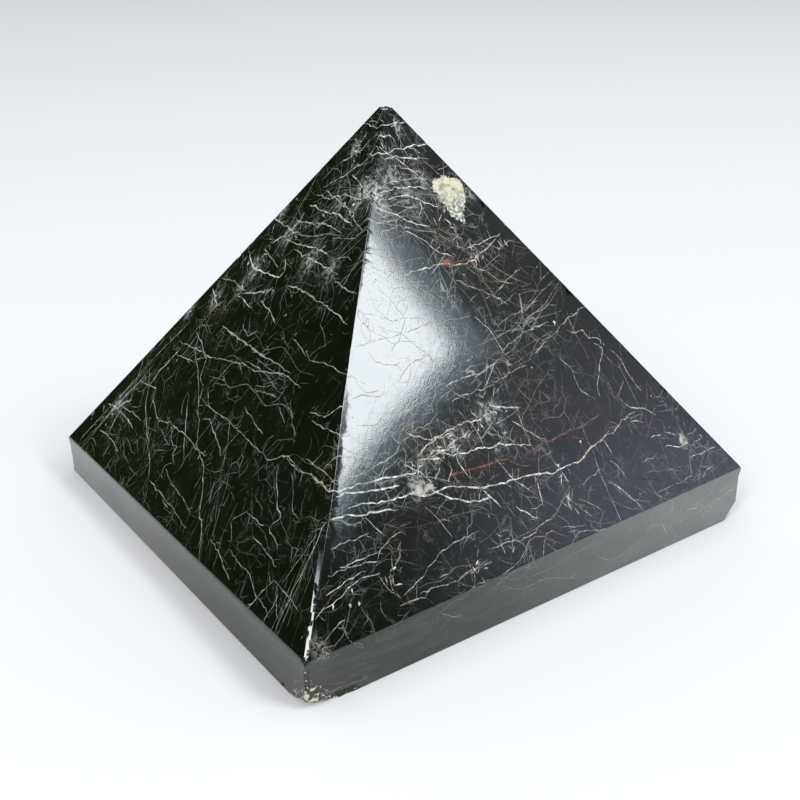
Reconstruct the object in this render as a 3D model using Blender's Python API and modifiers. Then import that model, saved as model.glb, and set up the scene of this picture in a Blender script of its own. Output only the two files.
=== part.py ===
"""Black tourmaline pyramid: one polished stone, a four-sided pyramid over a low upright band, resting on its base.

Metres, +Z up. The origin is the middle of the flat base. The arris between the two faces that show in the usual
view comes down to the front corner, at -X -Y. The right corner is at +X -Y and the left corner at -X +Y.
"""
import math

import bmesh
import bpy
from mathutils import Euler, Matrix, Vector, noise

# Driving dimensions of the stone, in metres.
SIDE = 0.080            # one side of the square base
HEIGHT = 0.0645         # base to the point where the four faces would meet
TIP_WEAR = 0.0011       # what is broken off that point
BAND_FRONT = 0.0073     # height of the upright band at each corner: the faces were ground by hand
BAND_RIGHT = 0.00885
BAND_BACK = 0.00805
BAND_LEFT = 0.0065
APEX_LEAN_X = 0.0005    # the point stands slightly off the middle of the base
APEX_LEAN_Y = -0.0004

# Widths of the narrow facets polished along the edges.
ARRIS_FACET = 0.0006
CORNER_FACET = 0.0006
RIM_FACET = 0.0003
FOOT_FACET = 0.0003
FACET_SEGMENTS = 2

# The broken places: how rough a break is, as a share of its size, and the grain of that roughness.
BREAK_ROUGHNESS = 0.16
BREAK_GRAIN = 1.7

HALF = SIDE / 2
APEX = Vector((APEX_LEAN_X, APEX_LEAN_Y, HEIGHT))
CORNERS = {
    "front": Vector((-HALF, -HALF, BAND_FRONT)),
    "right": Vector((HALF, -HALF, BAND_RIGHT)),
    "back": Vector((HALF, HALF, BAND_BACK)),
    "left": Vector((-HALF, HALF, BAND_LEFT)),
}


def clear_scene():
    for ob in list(bpy.data.objects):
        bpy.data.objects.remove(ob)


def collection(name):
    made = bpy.data.collections.new(name)
    bpy.context.scene.collection.children.link(made)
    return made


def add_object(name, bm, group):
    mesh = bpy.data.meshes.new(name)
    bm.to_mesh(mesh)
    bm.free()
    ob = bpy.data.objects.new(name, mesh)
    group.objects.link(ob)
    return ob


def polished_tourmaline():
    mat = bpy.data.materials.new("polished_tourmaline")
    mat.use_nodes = True
    shader = mat.node_tree.nodes["Principled BSDF"]
    shader.inputs["Base Color"].default_value = (0.008, 0.009, 0.009, 1.0)
    shader.inputs["Roughness"].default_value = 0.12
    shader.inputs["Metallic"].default_value = 0.0
    shader.inputs["IOR"].default_value = 1.64
    return mat


def corner_nearest(point):
    return min(CORNERS.values(), key=lambda corner: (corner.xy - point.xy).length)


def ground_blank():
    """The four faces over the band: a four-sided cone on the band's uneven rim, drawn straight down to the base."""
    bm = bmesh.new()
    turned = Matrix.Rotation(math.radians(45), 4, "Z")
    bmesh.ops.create_cone(bm, cap_ends=True, segments=4, radius1=HALF * math.sqrt(2), radius2=0,
                          depth=HEIGHT, matrix=turned)
    bmesh.ops.remove_doubles(bm, verts=bm.verts, dist=0.0001)
    for vert in bm.verts:
        vert.co = APEX if vert.co.z > 0 else corner_nearest(vert.co)
    rim_face = min(bm.faces, key=lambda face: face.calc_center_median().z)
    drawn = bmesh.ops.extrude_face_region(bm, geom=[rim_face])
    for vert in (item for item in drawn["geom"] if isinstance(item, bmesh.types.BMVert)):
        vert.co.z = 0
    inner = [face for face in bm.faces if all(v.co.z > 0 for v in face.verts) and len(face.verts) == 4]
    bmesh.ops.delete(bm, geom=inner, context="FACES_ONLY")
    bmesh.ops.recalc_face_normals(bm, faces=bm.faces)
    return bm


def facet_share(edge):
    """How wide this edge's polished facet is, as a share of the widest one, the arris facet."""
    low, high = sorted((vert.co.z for vert in edge.verts))
    if high > HEIGHT - TIP_WEAR:
        return 1.0
    if low > 0:
        return RIM_FACET / ARRIS_FACET
    if high > 0:
        return CORNER_FACET / ARRIS_FACET
    return FOOT_FACET / ARRIS_FACET


def pyramid(group):
    bm = ground_blank()
    share = bm.edges.layers.float.new("bevel_weight_edge")
    for edge in bm.edges:
        edge[share] = facet_share(edge)
    stone = add_object("pyramid", bm, group)
    stone.data.materials.append(polished_tourmaline())
    facets = stone.modifiers.new("edge_facets", "BEVEL")
    facets.limit_method = "WEIGHT"
    facets.offset_type = "WIDTH"
    facets.width = ARRIS_FACET
    facets.segments = FACET_SEGMENTS
    return stone


def chip_cutter(name, middle, radii, turn_degrees, seed, group, detail=2):
    """A rough lump that takes a shell-shaped break out of an edge or a corner."""
    bm = bmesh.new()
    bmesh.ops.create_icosphere(bm, subdivisions=detail, radius=1)
    drift = Vector((seed * 7.3, seed * 3.1, seed * 5.7))
    for vert in bm.verts:
        swell = noise.fractal(vert.co * BREAK_GRAIN + drift, 0.8, 2.1, 3)
        vert.co *= 1 + BREAK_ROUGHNESS * swell
        vert.co = Vector((vert.co.x * radii[0], vert.co.y * radii[1], vert.co.z * radii[2]))
    cutter = add_object(name, bm, group)
    cutter.location = middle
    cutter.rotation_euler = Euler([math.radians(angle) for angle in turn_degrees])
    cutter.hide_render = True
    cutter.display_type = "WIRE"
    return cutter


def break_out(stone, cutter):
    cut = stone.modifiers.new(cutter.name, "BOOLEAN")
    cut.operation = "DIFFERENCE"
    cut.solver = "EXACT"
    cut.object = cutter


def on_arris(corner_name, distance):
    """The point on an arris at this distance up from its corner of the rim."""
    corner = CORNERS[corner_name]
    return corner + (APEX - corner).normalized() * distance


def foot_breaks(group):
    """The breaks along the foot: the crumbled front corner, the shell broken off the right one and small ones."""
    front = CORNERS["front"].xy.to_3d()
    right = CORNERS["right"].xy.to_3d()
    left = CORNERS["left"].xy.to_3d()
    back = CORNERS["back"].xy.to_3d()
    return [
        chip_cutter("front_foot_break", front + Vector((0.0003, -0.0002, -0.0006)),
                    (0.0040, 0.0034, 0.0020), (4, -3, 12), 1, group, detail=3),
        chip_cutter("front_foot_spall", front + Vector((0.0052, -0.0006, -0.0001)),
                    (0.0046, 0.00085, 0.0017), (0, 4, -2), 2, group),
        chip_cutter("front_foot_nick", front + Vector((-0.0003, 0.0034, -0.0001)),
                    (0.0006, 0.0013, 0.0010), (0, 0, 6), 3, group),
        chip_cutter("left_foot_nick", front + Vector((-0.0003, 0.0062, -0.0002)),
                    (0.0005, 0.0011, 0.0008), (0, 0, -5), 4, group),
        chip_cutter("right_foot_break", right + Vector((0.0016, -0.0004, -0.0007)),
                    (0.0034, 0.0046, 0.0048), (5, 38, 8), 5, group, detail=3),
        chip_cutter("right_corner_scar", right + Vector((0.0008, -0.0002, 0.0058)),
                    (0.0013, 0.0014, 0.0028), (0, -14, 0), 6, group),
        chip_cutter("left_corner_scar", left + Vector((-0.0010, 0.0009, 0.0026)),
                    (0.0020, 0.0019, 0.0052), (0, 0, 45), 7, group),
        chip_cutter("back_foot_nick", back + Vector((0.0003, 0.0004, -0.0004)),
                    (0.0016, 0.0019, 0.0015), (0, 0, 20), 8, group),
    ]


def arris_breaks(group):
    """The blunt tip and the nicks along the arrises that show."""
    outward_front = Vector((-1, -1, 1)).normalized()
    outward_left = Vector((-1, 1, 1)).normalized()
    outward_right = Vector((1, -1, 1)).normalized()
    return [
        chip_cutter("tip_break", APEX + Vector((-0.0002, 0.0001, 0.00105)),
                    (0.0031, 0.0028, 0.0022), (4, -7, 20), 9, group),
        chip_cutter("tip_side_break", APEX + Vector((0.0013, -0.0019, -0.0010)),
                    (0.0011, 0.0008, 0.0012), (10, 20, 0), 10, group),
        chip_cutter("arris_nick_high", on_arris("front", 0.0080) + outward_front * 0.0002,
                    (0.0005, 0.0005, 0.0008), (0, 0, 45), 11, group),
        chip_cutter("arris_nick_low", on_arris("front", 0.0058) + outward_front * 0.0002,
                    (0.0005, 0.0005, 0.0005), (0, 0, 45), 12, group),
        chip_cutter("arris_foot_nick", on_arris("front", 0.0004) + outward_front * 0.0003,
                    (0.0007, 0.0007, 0.0006), (0, 0, 45), 13, group),
        chip_cutter("left_arris_nick", on_arris("left", 0.0480) + outward_left * 0.0003,
                    (0.0006, 0.0006, 0.0012), (0, 0, 45), 14, group),
        chip_cutter("right_arris_nick", on_arris("right", 0.0590) + outward_right * 0.0003,
                    (0.0006, 0.0006, 0.0011), (0, 0, 45), 15, group),
    ]


def build():
    clear_scene()
    parts = collection("black_tourmaline_pyramid")
    cutters = collection("cutters")
    stone = pyramid(parts)
    for cutter in foot_breaks(cutters) + arris_breaks(cutters):
        break_out(stone, cutter)


build()
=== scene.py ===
"""Looks of the black tourmaline pyramid: the polished stone with its hairline veins, patches and breaks.

The surface is worked out on a net, a square seen from above in millimetres. Its middle holds the four
faces, the border round them is the upright band folded outwards, and the outermost border is the rim of the
flat base.
"""
import math
import random

import bpy
import numpy as np
from mathutils import Euler, Matrix, Vector
from mathutils.geometry import delaunay_2d_cdt
from mathutils.kdtree import KDTree


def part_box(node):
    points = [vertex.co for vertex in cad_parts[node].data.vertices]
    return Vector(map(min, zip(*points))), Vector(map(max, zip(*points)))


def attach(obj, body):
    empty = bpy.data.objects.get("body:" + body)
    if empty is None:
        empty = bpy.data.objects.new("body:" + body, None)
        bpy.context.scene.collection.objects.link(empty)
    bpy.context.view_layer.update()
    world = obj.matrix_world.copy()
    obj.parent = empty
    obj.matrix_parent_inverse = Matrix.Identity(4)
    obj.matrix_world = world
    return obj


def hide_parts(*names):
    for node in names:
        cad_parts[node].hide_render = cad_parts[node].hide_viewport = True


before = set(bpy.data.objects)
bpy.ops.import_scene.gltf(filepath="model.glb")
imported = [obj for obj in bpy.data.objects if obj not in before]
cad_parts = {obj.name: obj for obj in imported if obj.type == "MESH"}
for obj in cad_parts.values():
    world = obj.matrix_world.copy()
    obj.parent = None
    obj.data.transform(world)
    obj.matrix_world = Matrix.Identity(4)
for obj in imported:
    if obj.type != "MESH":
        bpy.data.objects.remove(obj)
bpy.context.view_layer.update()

# The stone, in millimetres. Its side comes from the frame; the other sizes are the construction's own.
MM = 0.001
LOW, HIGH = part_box("pyramid")
HALF = (HIGH.x - LOW.x) / 2 / MM
POINT = np.array((0.5, -0.4, 64.5))
CORNERS = {
    "front": np.array((-HALF, -HALF, 7.3)),
    "right": np.array((HALF, -HALF, 8.85)),
    "back": np.array((HALF, HALF, 8.05)),
    "left": np.array((-HALF, HALF, 6.5)),
}
SIDES = [("front", "right"), ("right", "back"), ("back", "left"), ("left", "front")]

# How wide the band and the base's rim are drawn on the net.
BAND_SPREAD = 8.0
BASE_SPREAD = 8.0
NET_HALF = HALF + BAND_SPREAD + BASE_SPREAD

# Narrow polished facets along the edges, and the softness of their own edges.
CORNER_FACET = 0.6
FACET_SOFTNESS = 0.07
RIM_ROUNDING = 0.05
FOOT_ROUNDING = 0.10
ARRIS_FACET = 0.3
# The front arris facet's width at distances up the arris, which narrows again towards the tip.
FRONT_FACET = ((0, 0.6), (14.5, 0.6), (19, 0.8), (24, 0.75), (29, 0.45), (34, 0.25), (80, 0.2))

# Hand polishing leaves the faces slightly fuller in the middle than along the arrises, and a little wavy.
SWELL_DEPTH = 0.18
SWELL_REACH = 6.0
SWELL_FADE = 6.0
WAVE_DEPTH = 0.006
FACE_SLOPE = 55.0
# Farther than anything on the stone
FAR = 1e9

# The camera, solved from the photo's corners, in sides of the base and degrees.
EYE = np.array((-1.151, -1.683, 1.121)) * 2 * HALF
PITCH, HEADING, TILT = (math.radians(angle) for angle in (24.05, 35.13, -0.82))
FRAME_SIZE = 800
FOCAL_PIXELS = 1100
SENSOR = 36.0

# The way the polishing scratches run over the right face, from two pixels along one of them
HATCH_PIXELS = ((350, 470), (372, 430))

SEED = 11


# Camera

def camera_axes():
    """The camera's right, up and forward directions."""
    forward = np.array((math.cos(PITCH) * math.sin(HEADING),
                        math.cos(PITCH) * math.cos(HEADING),
                        -math.sin(PITCH)))
    level_right = np.array((math.cos(HEADING), -math.sin(HEADING), 0.0))
    level_up = np.cross(level_right, forward)
    right = math.cos(TILT) * level_right + math.sin(TILT) * level_up
    return right, np.cross(right, forward), forward


RIGHT, UP, FORWARD = camera_axes()


def sight(x, y):
    """The direction in which the camera sees a pixel of the photo's frame."""
    middle = FRAME_SIZE / 2
    ray = FORWARD + RIGHT * (x - middle) / FOCAL_PIXELS + UP * (middle - y) / FOCAL_PIXELS
    return ray / np.linalg.norm(ray)


def make_camera():
    data = bpy.data.cameras.new("camera")
    data.sensor_width = SENSOR
    data.lens = SENSOR * FOCAL_PIXELS / FRAME_SIZE
    data.clip_start = 0.01
    data.clip_end = 50
    camera = bpy.data.objects.new("camera", data)
    bpy.context.scene.collection.objects.link(camera)
    turn = Matrix(np.column_stack((RIGHT, UP, -FORWARD)).tolist()).to_4x4()
    camera.matrix_world = Matrix.Translation(Vector(EYE * MM)) @ turn
    bpy.context.scene.camera = camera


# The body's planes

def plane_height(a, b, c):
    """The slopes along x and y and the height at the middle of the plane through three points."""
    rows = np.array([(p[0], p[1], 1.0) for p in (a, b, c)])
    return np.linalg.solve(rows, np.array([p[2] for p in (a, b, c)]))


FACES = [plane_height(CORNERS[a], CORNERS[b], POINT) for a, b in SIDES]
RIM = plane_height(CORNERS["front"], CORNERS["right"], CORNERS["left"])


def flat_height(plane, x, y):
    return plane[0] * x + plane[1] * y + plane[2]


def seen_planes():
    """A point and the outward normal of the planes that face the camera: two faces and two band sides."""
    planes = []
    for plane, (a, b) in zip(FACES, SIDES):
        normal = np.array((-plane[0], -plane[1], 1.0))
        planes.append((POINT, normal / np.linalg.norm(normal)))
        outward = (CORNERS[a] + CORNERS[b]) / 2 * np.array((1, 1, 0))
        planes.append((CORNERS[a], outward / np.linalg.norm(outward)))
    return [(point, normal) for point, normal in planes if normal @ FORWARD < 0]


def net_place(x, y):
    """Where the stone's flat-sided body shows at a pixel, as a place on the net."""
    ray = sight(x, y)
    hits = [((point - EYE) @ normal / (ray @ normal), normal) for point, normal in seen_planes()]
    distance, normal = max(hits, key=lambda hit: hit[0])
    spot = EYE + ray * distance
    if normal[2] > 0:
        return spot[:2]
    drop = 1 - spot[2] / flat_height(RIM, spot[0], spot[1])
    spread = (HALF + min(max(drop, 0), 1) * BAND_SPREAD) / HALF
    return np.clip(spot[:2], -HALF, HALF) * spread


# Noise

# Large odd numbers that scatter the lattice's corners, and the seed, over all values
SCATTER_AXES = (73856093, 19349663, 83492791)
SCATTER_SEED = 9176731
SCATTER_MIX = 1274126177


def lattice_noise(points, cell, seed):
    """Smooth values from -1 to 1 that change over about one cell."""
    place = points / cell
    base = np.floor(place).astype(np.int64)
    part = place - base
    ease = part * part * (3 - 2 * part)
    total = np.zeros(len(points))
    for corner in np.ndindex(2, 2, 2):
        spot = base + corner
        mixed = np.bitwise_xor.reduce(spot * SCATTER_AXES, axis=1) ^ (seed * SCATTER_SEED)
        mixed = ((mixed ^ (mixed >> 13)) * SCATTER_MIX) & 0xFFFFFFFF
        value = ((mixed ^ (mixed >> 16)) & 0xFFFF) / 0x7FFF - 1
        weight = np.prod(np.where(np.array(corner) == 1, ease, 1 - ease), axis=1)
        total += weight * value
    return total


def rough_noise(points, cell, seed, octaves=3):
    return sum(lattice_noise(points, cell / 2 ** k, seed + k) / 2 ** k for k in range(octaves))


def smooth_step(low, high, value):
    share = np.clip((value - low) / (high - low), 0, 1)
    return share * share * (3 - 2 * share)


# Breaks: each takes a rough lump's shape out of the stone, and the surface there sinks inwards onto the lump

def on_arris(corner, distance):
    start = CORNERS[corner]
    along = POINT - start
    return start + along / np.linalg.norm(along) * distance


def lump(middle, radii, turn, inward, seed, rough=0.16, grain=0.55, pale=0.2):
    """A break's rough ellipsoid; pale is how much pale crumbly mineral its surface shows."""
    inward = np.array(inward, float)
    return {
        "middle": np.array(middle, float),
        "radii": np.array(radii, float),
        "axes": np.array(Euler([math.radians(angle) for angle in turn]).to_matrix()),
        "inward": inward / np.linalg.norm(inward),
        "seed": seed,
        "rough": rough,
        "grain": grain,
        "pale": pale,
    }


def foot(corner):
    return CORNERS[corner] * np.array((1, 1, 0))


def main_breaks():
    front, right, left, back = (foot(name) for name in ("front", "right", "left", "back"))
    return [
        lump(front + (0.3, -0.2, -0.6), (4.0, 3.4, 2.0), (4, -3, 12), (1, 1, 1), 1, 0.22, 0.7, pale=0.9),
        lump(front + (5.2, -0.6, -0.1), (4.6, 0.85, 1.7), (0, 4, -2), (0, 1, 0.5), 2, 0.10, pale=0.12),
        lump(front + (-0.3, 3.6, -0.1), (0.6, 1.0, 0.8), (0, 0, 6), (1, 0, 0.6), 3, pale=0.4),
        lump(front + (-0.3, 6.2, -0.2), (0.5, 1.1, 0.6), (0, 0, -5), (1, 0, 0.6), 4, pale=0.2),
        lump(right + (1.2, -0.4, -0.7), (3.4, 4.6, 4.8), (5, 38, 8), (-1, 0.6, 0.7), 5, 0.14, 1.0, pale=0.25),
        lump(right + (1.15, -0.4, 5.6), (1.3, 1.4, 2.6), (0, -14, 0), (-1, 0.7, 0), 6, 0.12, pale=0.2),
        lump(right + (0.25, -0.25, 8.9), (0.5, 0.5, 0.5), (0, 0, 45), (-1, 1, -0.6), 20, pale=0.1),
        lump(left + (-1.0, 0.9, 2.6), (2.0, 1.9, 5.2), (0, 0, 45), (1, -1, 0), 7, 0.08, pale=0.05),
        lump(back + (0.3, 0.4, -0.4), (1.6, 1.9, 1.5), (0, 0, 20), (-1, -1, 1), 8, pale=0.4),
        lump(front + (-0.05, -0.05, 2.4), (0.5, 0.5, 0.7), (0, 0, 45), (1, 1, 0), 16, pale=1.0),
        lump(front + (-0.05, 0.0, 3.6), (0.45, 0.5, 0.4), (0, 0, 45), (1, 1, 0), 17, pale=1.0),
        lump(front + (0.0, -0.05, 4.6), (0.4, 0.45, 0.4), (0, 0, 45), (1, 1, 0), 18, pale=0.9),
        lump(front + (-0.05, -0.05, 5.7), (0.4, 0.4, 0.5), (0, 0, 45), (1, 1, 0), 19, pale=0.9),
        lump(POINT + (-0.2, 0.1, 1.05), (3.1, 2.8, 2.2), (4, -7, 20), (0, 0, -1), 9, 0.10, pale=0.4),
        lump(POINT + (1.3, -1.9, -1.0), (1.1, 0.8, 1.2), (10, 20, 0), (-0.3, 1, -0.4), 10, pale=0.5),
        lump(on_arris("left", 48) + (-0.3, 0.3, 0.3), (0.5, 0.5, 1.2), (0, 0, 45), (1, -1, -1), 14),
        lump(on_arris("right", 59) + (0.3, -0.3, 0.3), (0.5, 0.5, 1.1), (0, 0, 45), (-1, 1, -1), 15),
    ]


# Runs of small nicks: the arris, how far up it they start and end, how many there are, and their size
NICK_RUNS = [
    ("front", 0.2, 5.6, 12, 0.21),
    ("front", 6.0, 9.4, 5, 0.17),
    ("left", 3, 76, 22, 0.24),
    ("right", 3, 76, 14, 0.22),
    ("back", 3, 76, 14, 0.26),
]


def arris_nicks(rng):
    """The small nicks along the arrises, closest at the foot of the front one, which is bruised."""
    nicks = []
    for corner, start, end, count, size in NICK_RUNS:
        outward = CORNERS[corner] / HALF * (1, 1, 0) + (0, 0, 1)
        outward = outward / np.linalg.norm(outward)
        lateral = np.cross(outward, POINT - CORNERS[corner])
        lateral = lateral / np.linalg.norm(lateral)
        for k in range(count):
            radius = size * rng.uniform(0.6, 1.3)
            spot = on_arris(corner, rng.uniform(start, end)) + outward * (radius * 0.3 - 0.1)
            spot = spot + lateral * rng.uniform(-0.3, 0.3)
            radii = (radius, radius * rng.uniform(0.5, 1.1), radius * rng.uniform(0.7, 1.6))
            turn = (rng.uniform(-30, 30), rng.uniform(-30, 30), 45)
            nicks.append(lump(spot, radii, turn, -outward, 40 + k))
    return nicks


BREAKS = main_breaks() + arris_nicks(random.Random(SEED))


def break_away(points):
    """The points with those inside a break moved onto its shell, how broken they are and how pale."""
    moved = points.copy()
    broken, pale = np.zeros(len(points)), np.zeros(len(points))
    for cut in BREAKS:
        near = np.linalg.norm(moved - cut["middle"], axis=1) < cut["radii"].max() * 1.5
        if not near.any():
            continue
        local = (moved[near] - cut["middle"]) @ cut["axes"] / cut["radii"]
        grain = cut["grain"] * cut["radii"].min() ** 0.5
        reach = 1 + cut["rough"] * rough_noise(moved[near], grain, cut["seed"])
        size = np.linalg.norm(local, axis=1)
        step = cut["inward"] @ cut["axes"] / cut["radii"]
        a, b, c = step @ step, 2 * local @ step, size ** 2 - reach ** 2
        inside = size < reach
        depth = (-b + np.sqrt(np.maximum(b * b - 4 * a * c, 0))) / (2 * a)
        moved[near] += np.where(inside, depth, 0)[:, None] * cut["inward"]
        struck = smooth_step(-0.02, 0.05, reach - size)
        broken[near] = np.maximum(broken[near], struck)
        pale[near] = np.maximum(pale[near], struck * cut["pale"])
    crumbly = smooth_step(4.6, 0.8, np.linalg.norm((points - foot("front")) * (1, 1, 0.8), axis=1))
    return moved, broken, np.maximum(pale, 0.55 * crumbly)


# From the net to the stone

def facet_width(corner, distance):
    if corner != "front":
        return ARRIS_FACET + 0 * distance
    return np.interp(distance, [row[0] for row in FRONT_FACET], [row[1] for row in FRONT_FACET])


def arris_frame(corner):
    """The arris's plan direction and length on the net, and its rise over that length."""
    along = POINT - CORNERS[corner]
    length = np.linalg.norm(along[:2])
    return along[:2] / length, length, along[2]


def fullness(x, y, from_arris):
    """How much higher the swollen, slightly wavy faces are than flat ones."""
    from_rim = HALF - np.maximum(np.abs(x), np.abs(y))
    swell = SWELL_DEPTH * (1 - np.exp(-from_arris / SWELL_REACH)) * smooth_step(0, SWELL_FADE, from_rim)
    long_waves = np.sin(x / 5.3 + y / 9.1) + np.sin(y / 6.7 - x / 8.3 + 1.3)
    wave = long_waves + np.sin(x / 3.1 + 2) * np.sin(y / 3.7)
    return (swell + WAVE_DEPTH * wave) / math.cos(math.radians(FACE_SLOPE))


def face_height(x, y):
    """The height of the faces and the arris facets at a place. The front arris takes no swell away."""
    height = np.min([flat_height(plane, x, y) for plane in FACES], axis=0)
    nearest = np.full(len(x), FAR)
    for corner, start in CORNERS.items():
        direction, length, rise = arris_frame(corner)
        ahead = (x - start[0]) * direction[0] + (y - start[1]) * direction[1]
        aside = np.abs((x - start[0]) * direction[1] - (y - start[1]) * direction[0])
        up_arris = ahead * np.hypot(length, rise) / length
        side_fall = abs(FACES[0][1]) / math.sqrt(2)
        facet = start[2] + ahead * rise / length - side_fall * facet_width(corner, up_arris) / 2
        facing = ahead > -2
        height = np.where(facing, np.minimum(height, facet), height)
        if corner != "front":
            nearest = np.where(facing, np.minimum(nearest, aside), nearest)
    return height + fullness(x, y, nearest)


def body_points(net):
    """The stone's surface before the breaks, for places on the net, in millimetres."""
    ring = np.maximum(np.abs(net[:, 0]), np.abs(net[:, 1]))
    drop = np.clip((ring - HALF) / BAND_SPREAD, 0, 1)
    under = np.clip(ring - HALF - BAND_SPREAD, 0, None)
    outside = ring > HALF
    shrink = np.where(outside, (HALF - under) / np.maximum(ring, 1e-9), 1)
    x, y = net[:, 0] * shrink, net[:, 1] * shrink
    height = face_height(x, y)
    height = np.where(outside, np.minimum(height, flat_height(RIM, x, y)) * (1 - drop), height)
    cut = CORNER_FACET / math.sqrt(2) * smooth_step(0, 0.2, drop)
    past = np.maximum(np.abs(x) + np.abs(y) - (2 * HALF - cut), 0) / 2
    x, y = x - np.sign(x) * past, y - np.sign(y) * past
    at_rim = RIM_ROUNDING * np.clip(1 - np.abs(ring - HALF) / 0.12, 0, 1)
    at_foot = FOOT_ROUNDING * np.clip(1 - np.abs(ring - HALF - BAND_SPREAD) / 0.2, 0, 1)
    along_x = np.abs(net[:, 0]) > np.abs(net[:, 1])
    inset = at_rim + at_foot
    x = x - np.where(along_x, np.sign(x) * inset, 0)
    y = y - np.where(along_x, 0, np.sign(y) * inset)
    return np.column_stack((x, y, np.maximum(height - at_rim * 0.5, 0)))


def surface(net):
    """The finished surface in millimetres, how broken it is and how pale its breaks are."""
    points, broken, pale = break_away(body_points(net))
    points[:, 2] = np.maximum(points[:, 2], 0)
    return points, broken, pale


def surface_normals(net, step=0.03):
    """Unit normals, from the surface a short step to each side, so that thin triangles don't show."""
    across = surface(net + (step, 0))[0] - surface(net - (step, 0))[0]
    upward = surface(net + (0, step))[0] - surface(net - (0, step))[0]
    normals = np.cross(across, upward)
    return normals / np.maximum(np.linalg.norm(normals, axis=1), 1e-12)[:, None]


# Veins, read off the photo: pixels of its 800 x 800 frame along each vein

RIGHT_TIP_VEINS = [
    [(366, 124), (371, 126), (380, 127), (388, 125), (396, 122), (400, 120)],
    [(369, 122), (374, 123), (378, 123)],
    [(391, 127), (398, 124), (404, 122)],
    [(377, 142), (378, 138), (384, 136), (391, 136), (394, 139), (394, 147)],
    [(399, 137), (401, 142), (403, 147)],
    [(370, 155), (377, 154), (386, 153), (395, 151), (407, 148), (418, 146), (427, 144)],
    [(379, 146), (387, 153), (402, 163), (409, 169), (419, 178), (426, 184), (440, 196)],
    [(366, 190), (379, 188), (389, 183), (403, 181), (420, 179), (432, 181)],
    [(376, 194), (392, 190), (410, 188), (428, 190)],
    [(384, 160), (396, 157), (408, 160), (420, 158)],
    [(372, 204), (384, 212), (398, 216), (412, 224), (430, 228)],
    [(388, 200), (404, 196), (420, 202), (438, 208)],
    [(397, 277), (422, 271), (438, 267), (463, 265), (482, 254), (496, 239)],
    [(404, 232), (422, 240), (436, 252), (452, 258)],
    [(366, 221), (378, 223), (388, 222), (398, 221)],
]
HIGHLIGHT_VEINS = [
    [(401, 335), (393, 324), (384, 316)],
    [(401, 335), (388, 331), (378, 327)],
    [(401, 335), (385, 339), (368, 343), (356, 347)],
    [(401, 335), (396, 344), (391, 353)],
    [(401, 335), (412, 344), (428, 357), (436, 368)],
    [(401, 335), (418, 329), (438, 324), (456, 320), (471, 317)],
    [(401, 335), (404, 326), (405, 320)],
    [(428, 357), (416, 362), (406, 370), (398, 384)],
    [(384, 316), (374, 308), (371, 296)],
    [(378, 290), (388, 298), (396, 308), (404, 318)],
    [(404, 300), (398, 306), (396, 316)],
    [(348, 377), (353, 377), (359, 381), (365, 385)],
    [(357, 426), (366, 425), (378, 425), (381, 419), (386, 415), (397, 414), (408, 412), (418, 405)],
    [(378, 425), (385, 429), (390, 434), (398, 444), (402, 445), (405, 453), (408, 460)],
    [(336, 481), (353, 477), (370, 470), (380, 464), (393, 457), (403, 444), (414, 432), (427, 427),
     (436, 417)],
    [(322, 471), (332, 460), (341, 457), (355, 459), (363, 464), (367, 470)],
    [(372, 212), (378, 230), (384, 250), (392, 268)],
    [(368, 352), (376, 362), (388, 366), (400, 364)],
    [(350, 400), (362, 396), (376, 398), (390, 392)],
]
RIGHT_MIDDLE_VEINS = [
    [(311, 474), (321, 484), (329, 491), (335, 492), (351, 488), (364, 483), (379, 481), (388, 479),
     (403, 477), (415, 475), (418, 470), (417, 465)],
    [(348, 509), (362, 504), (386, 503), (397, 499), (413, 495), (424, 498), (445, 490), (462, 488),
     (481, 489), (498, 487), (512, 482), (524, 479), (533, 477), (543, 475), (555, 474), (563, 469),
     (577, 465), (584, 458), (592, 449), (603, 440), (609, 432)],
    [(418, 465), (417, 481)],
    [(440, 468), (435, 483)],
    [(418, 462), (428, 460), (440, 460)],
    [(418, 457), (440, 437), (454, 429), (467, 423), (478, 422), (489, 415), (497, 414)],
    [(428, 459), (450, 450), (457, 446)],
    [(440, 456), (461, 456), (474, 451), (492, 449), (504, 446), (524, 447), (532, 447)],
    [(424, 462), (436, 452), (446, 452), (452, 444), (462, 440), (470, 432)],
    [(469, 423), (477, 433), (484, 450)],
    [(493, 424), (487, 432), (482, 441)],
    [(490, 407), (509, 410), (520, 409)],
    [(512, 423), (527, 432), (543, 443)],
    [(495, 460), (504, 470), (515, 482), (531, 493)],
    [(603, 441), (612, 455)],
    [(535, 478), (539, 492), (543, 507)],
    [(479, 490), (490, 498), (501, 509)],
    [(516, 508), (528, 515), (538, 519)],
    [(336, 497), (350, 494), (366, 492), (384, 490), (400, 487)],
    [(330, 520), (346, 516), (362, 516), (380, 512), (398, 511)],
    [(432, 492), (450, 500), (470, 503), (492, 500)],
    [(406, 434), (420, 440), (436, 440), (452, 436)],
    [(404, 466), (412, 470), (420, 474), (432, 484)],
    [(448, 462), (452, 472), (448, 484)],
    [(460, 446), (456, 458), (462, 470), (470, 480)],
]
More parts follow.
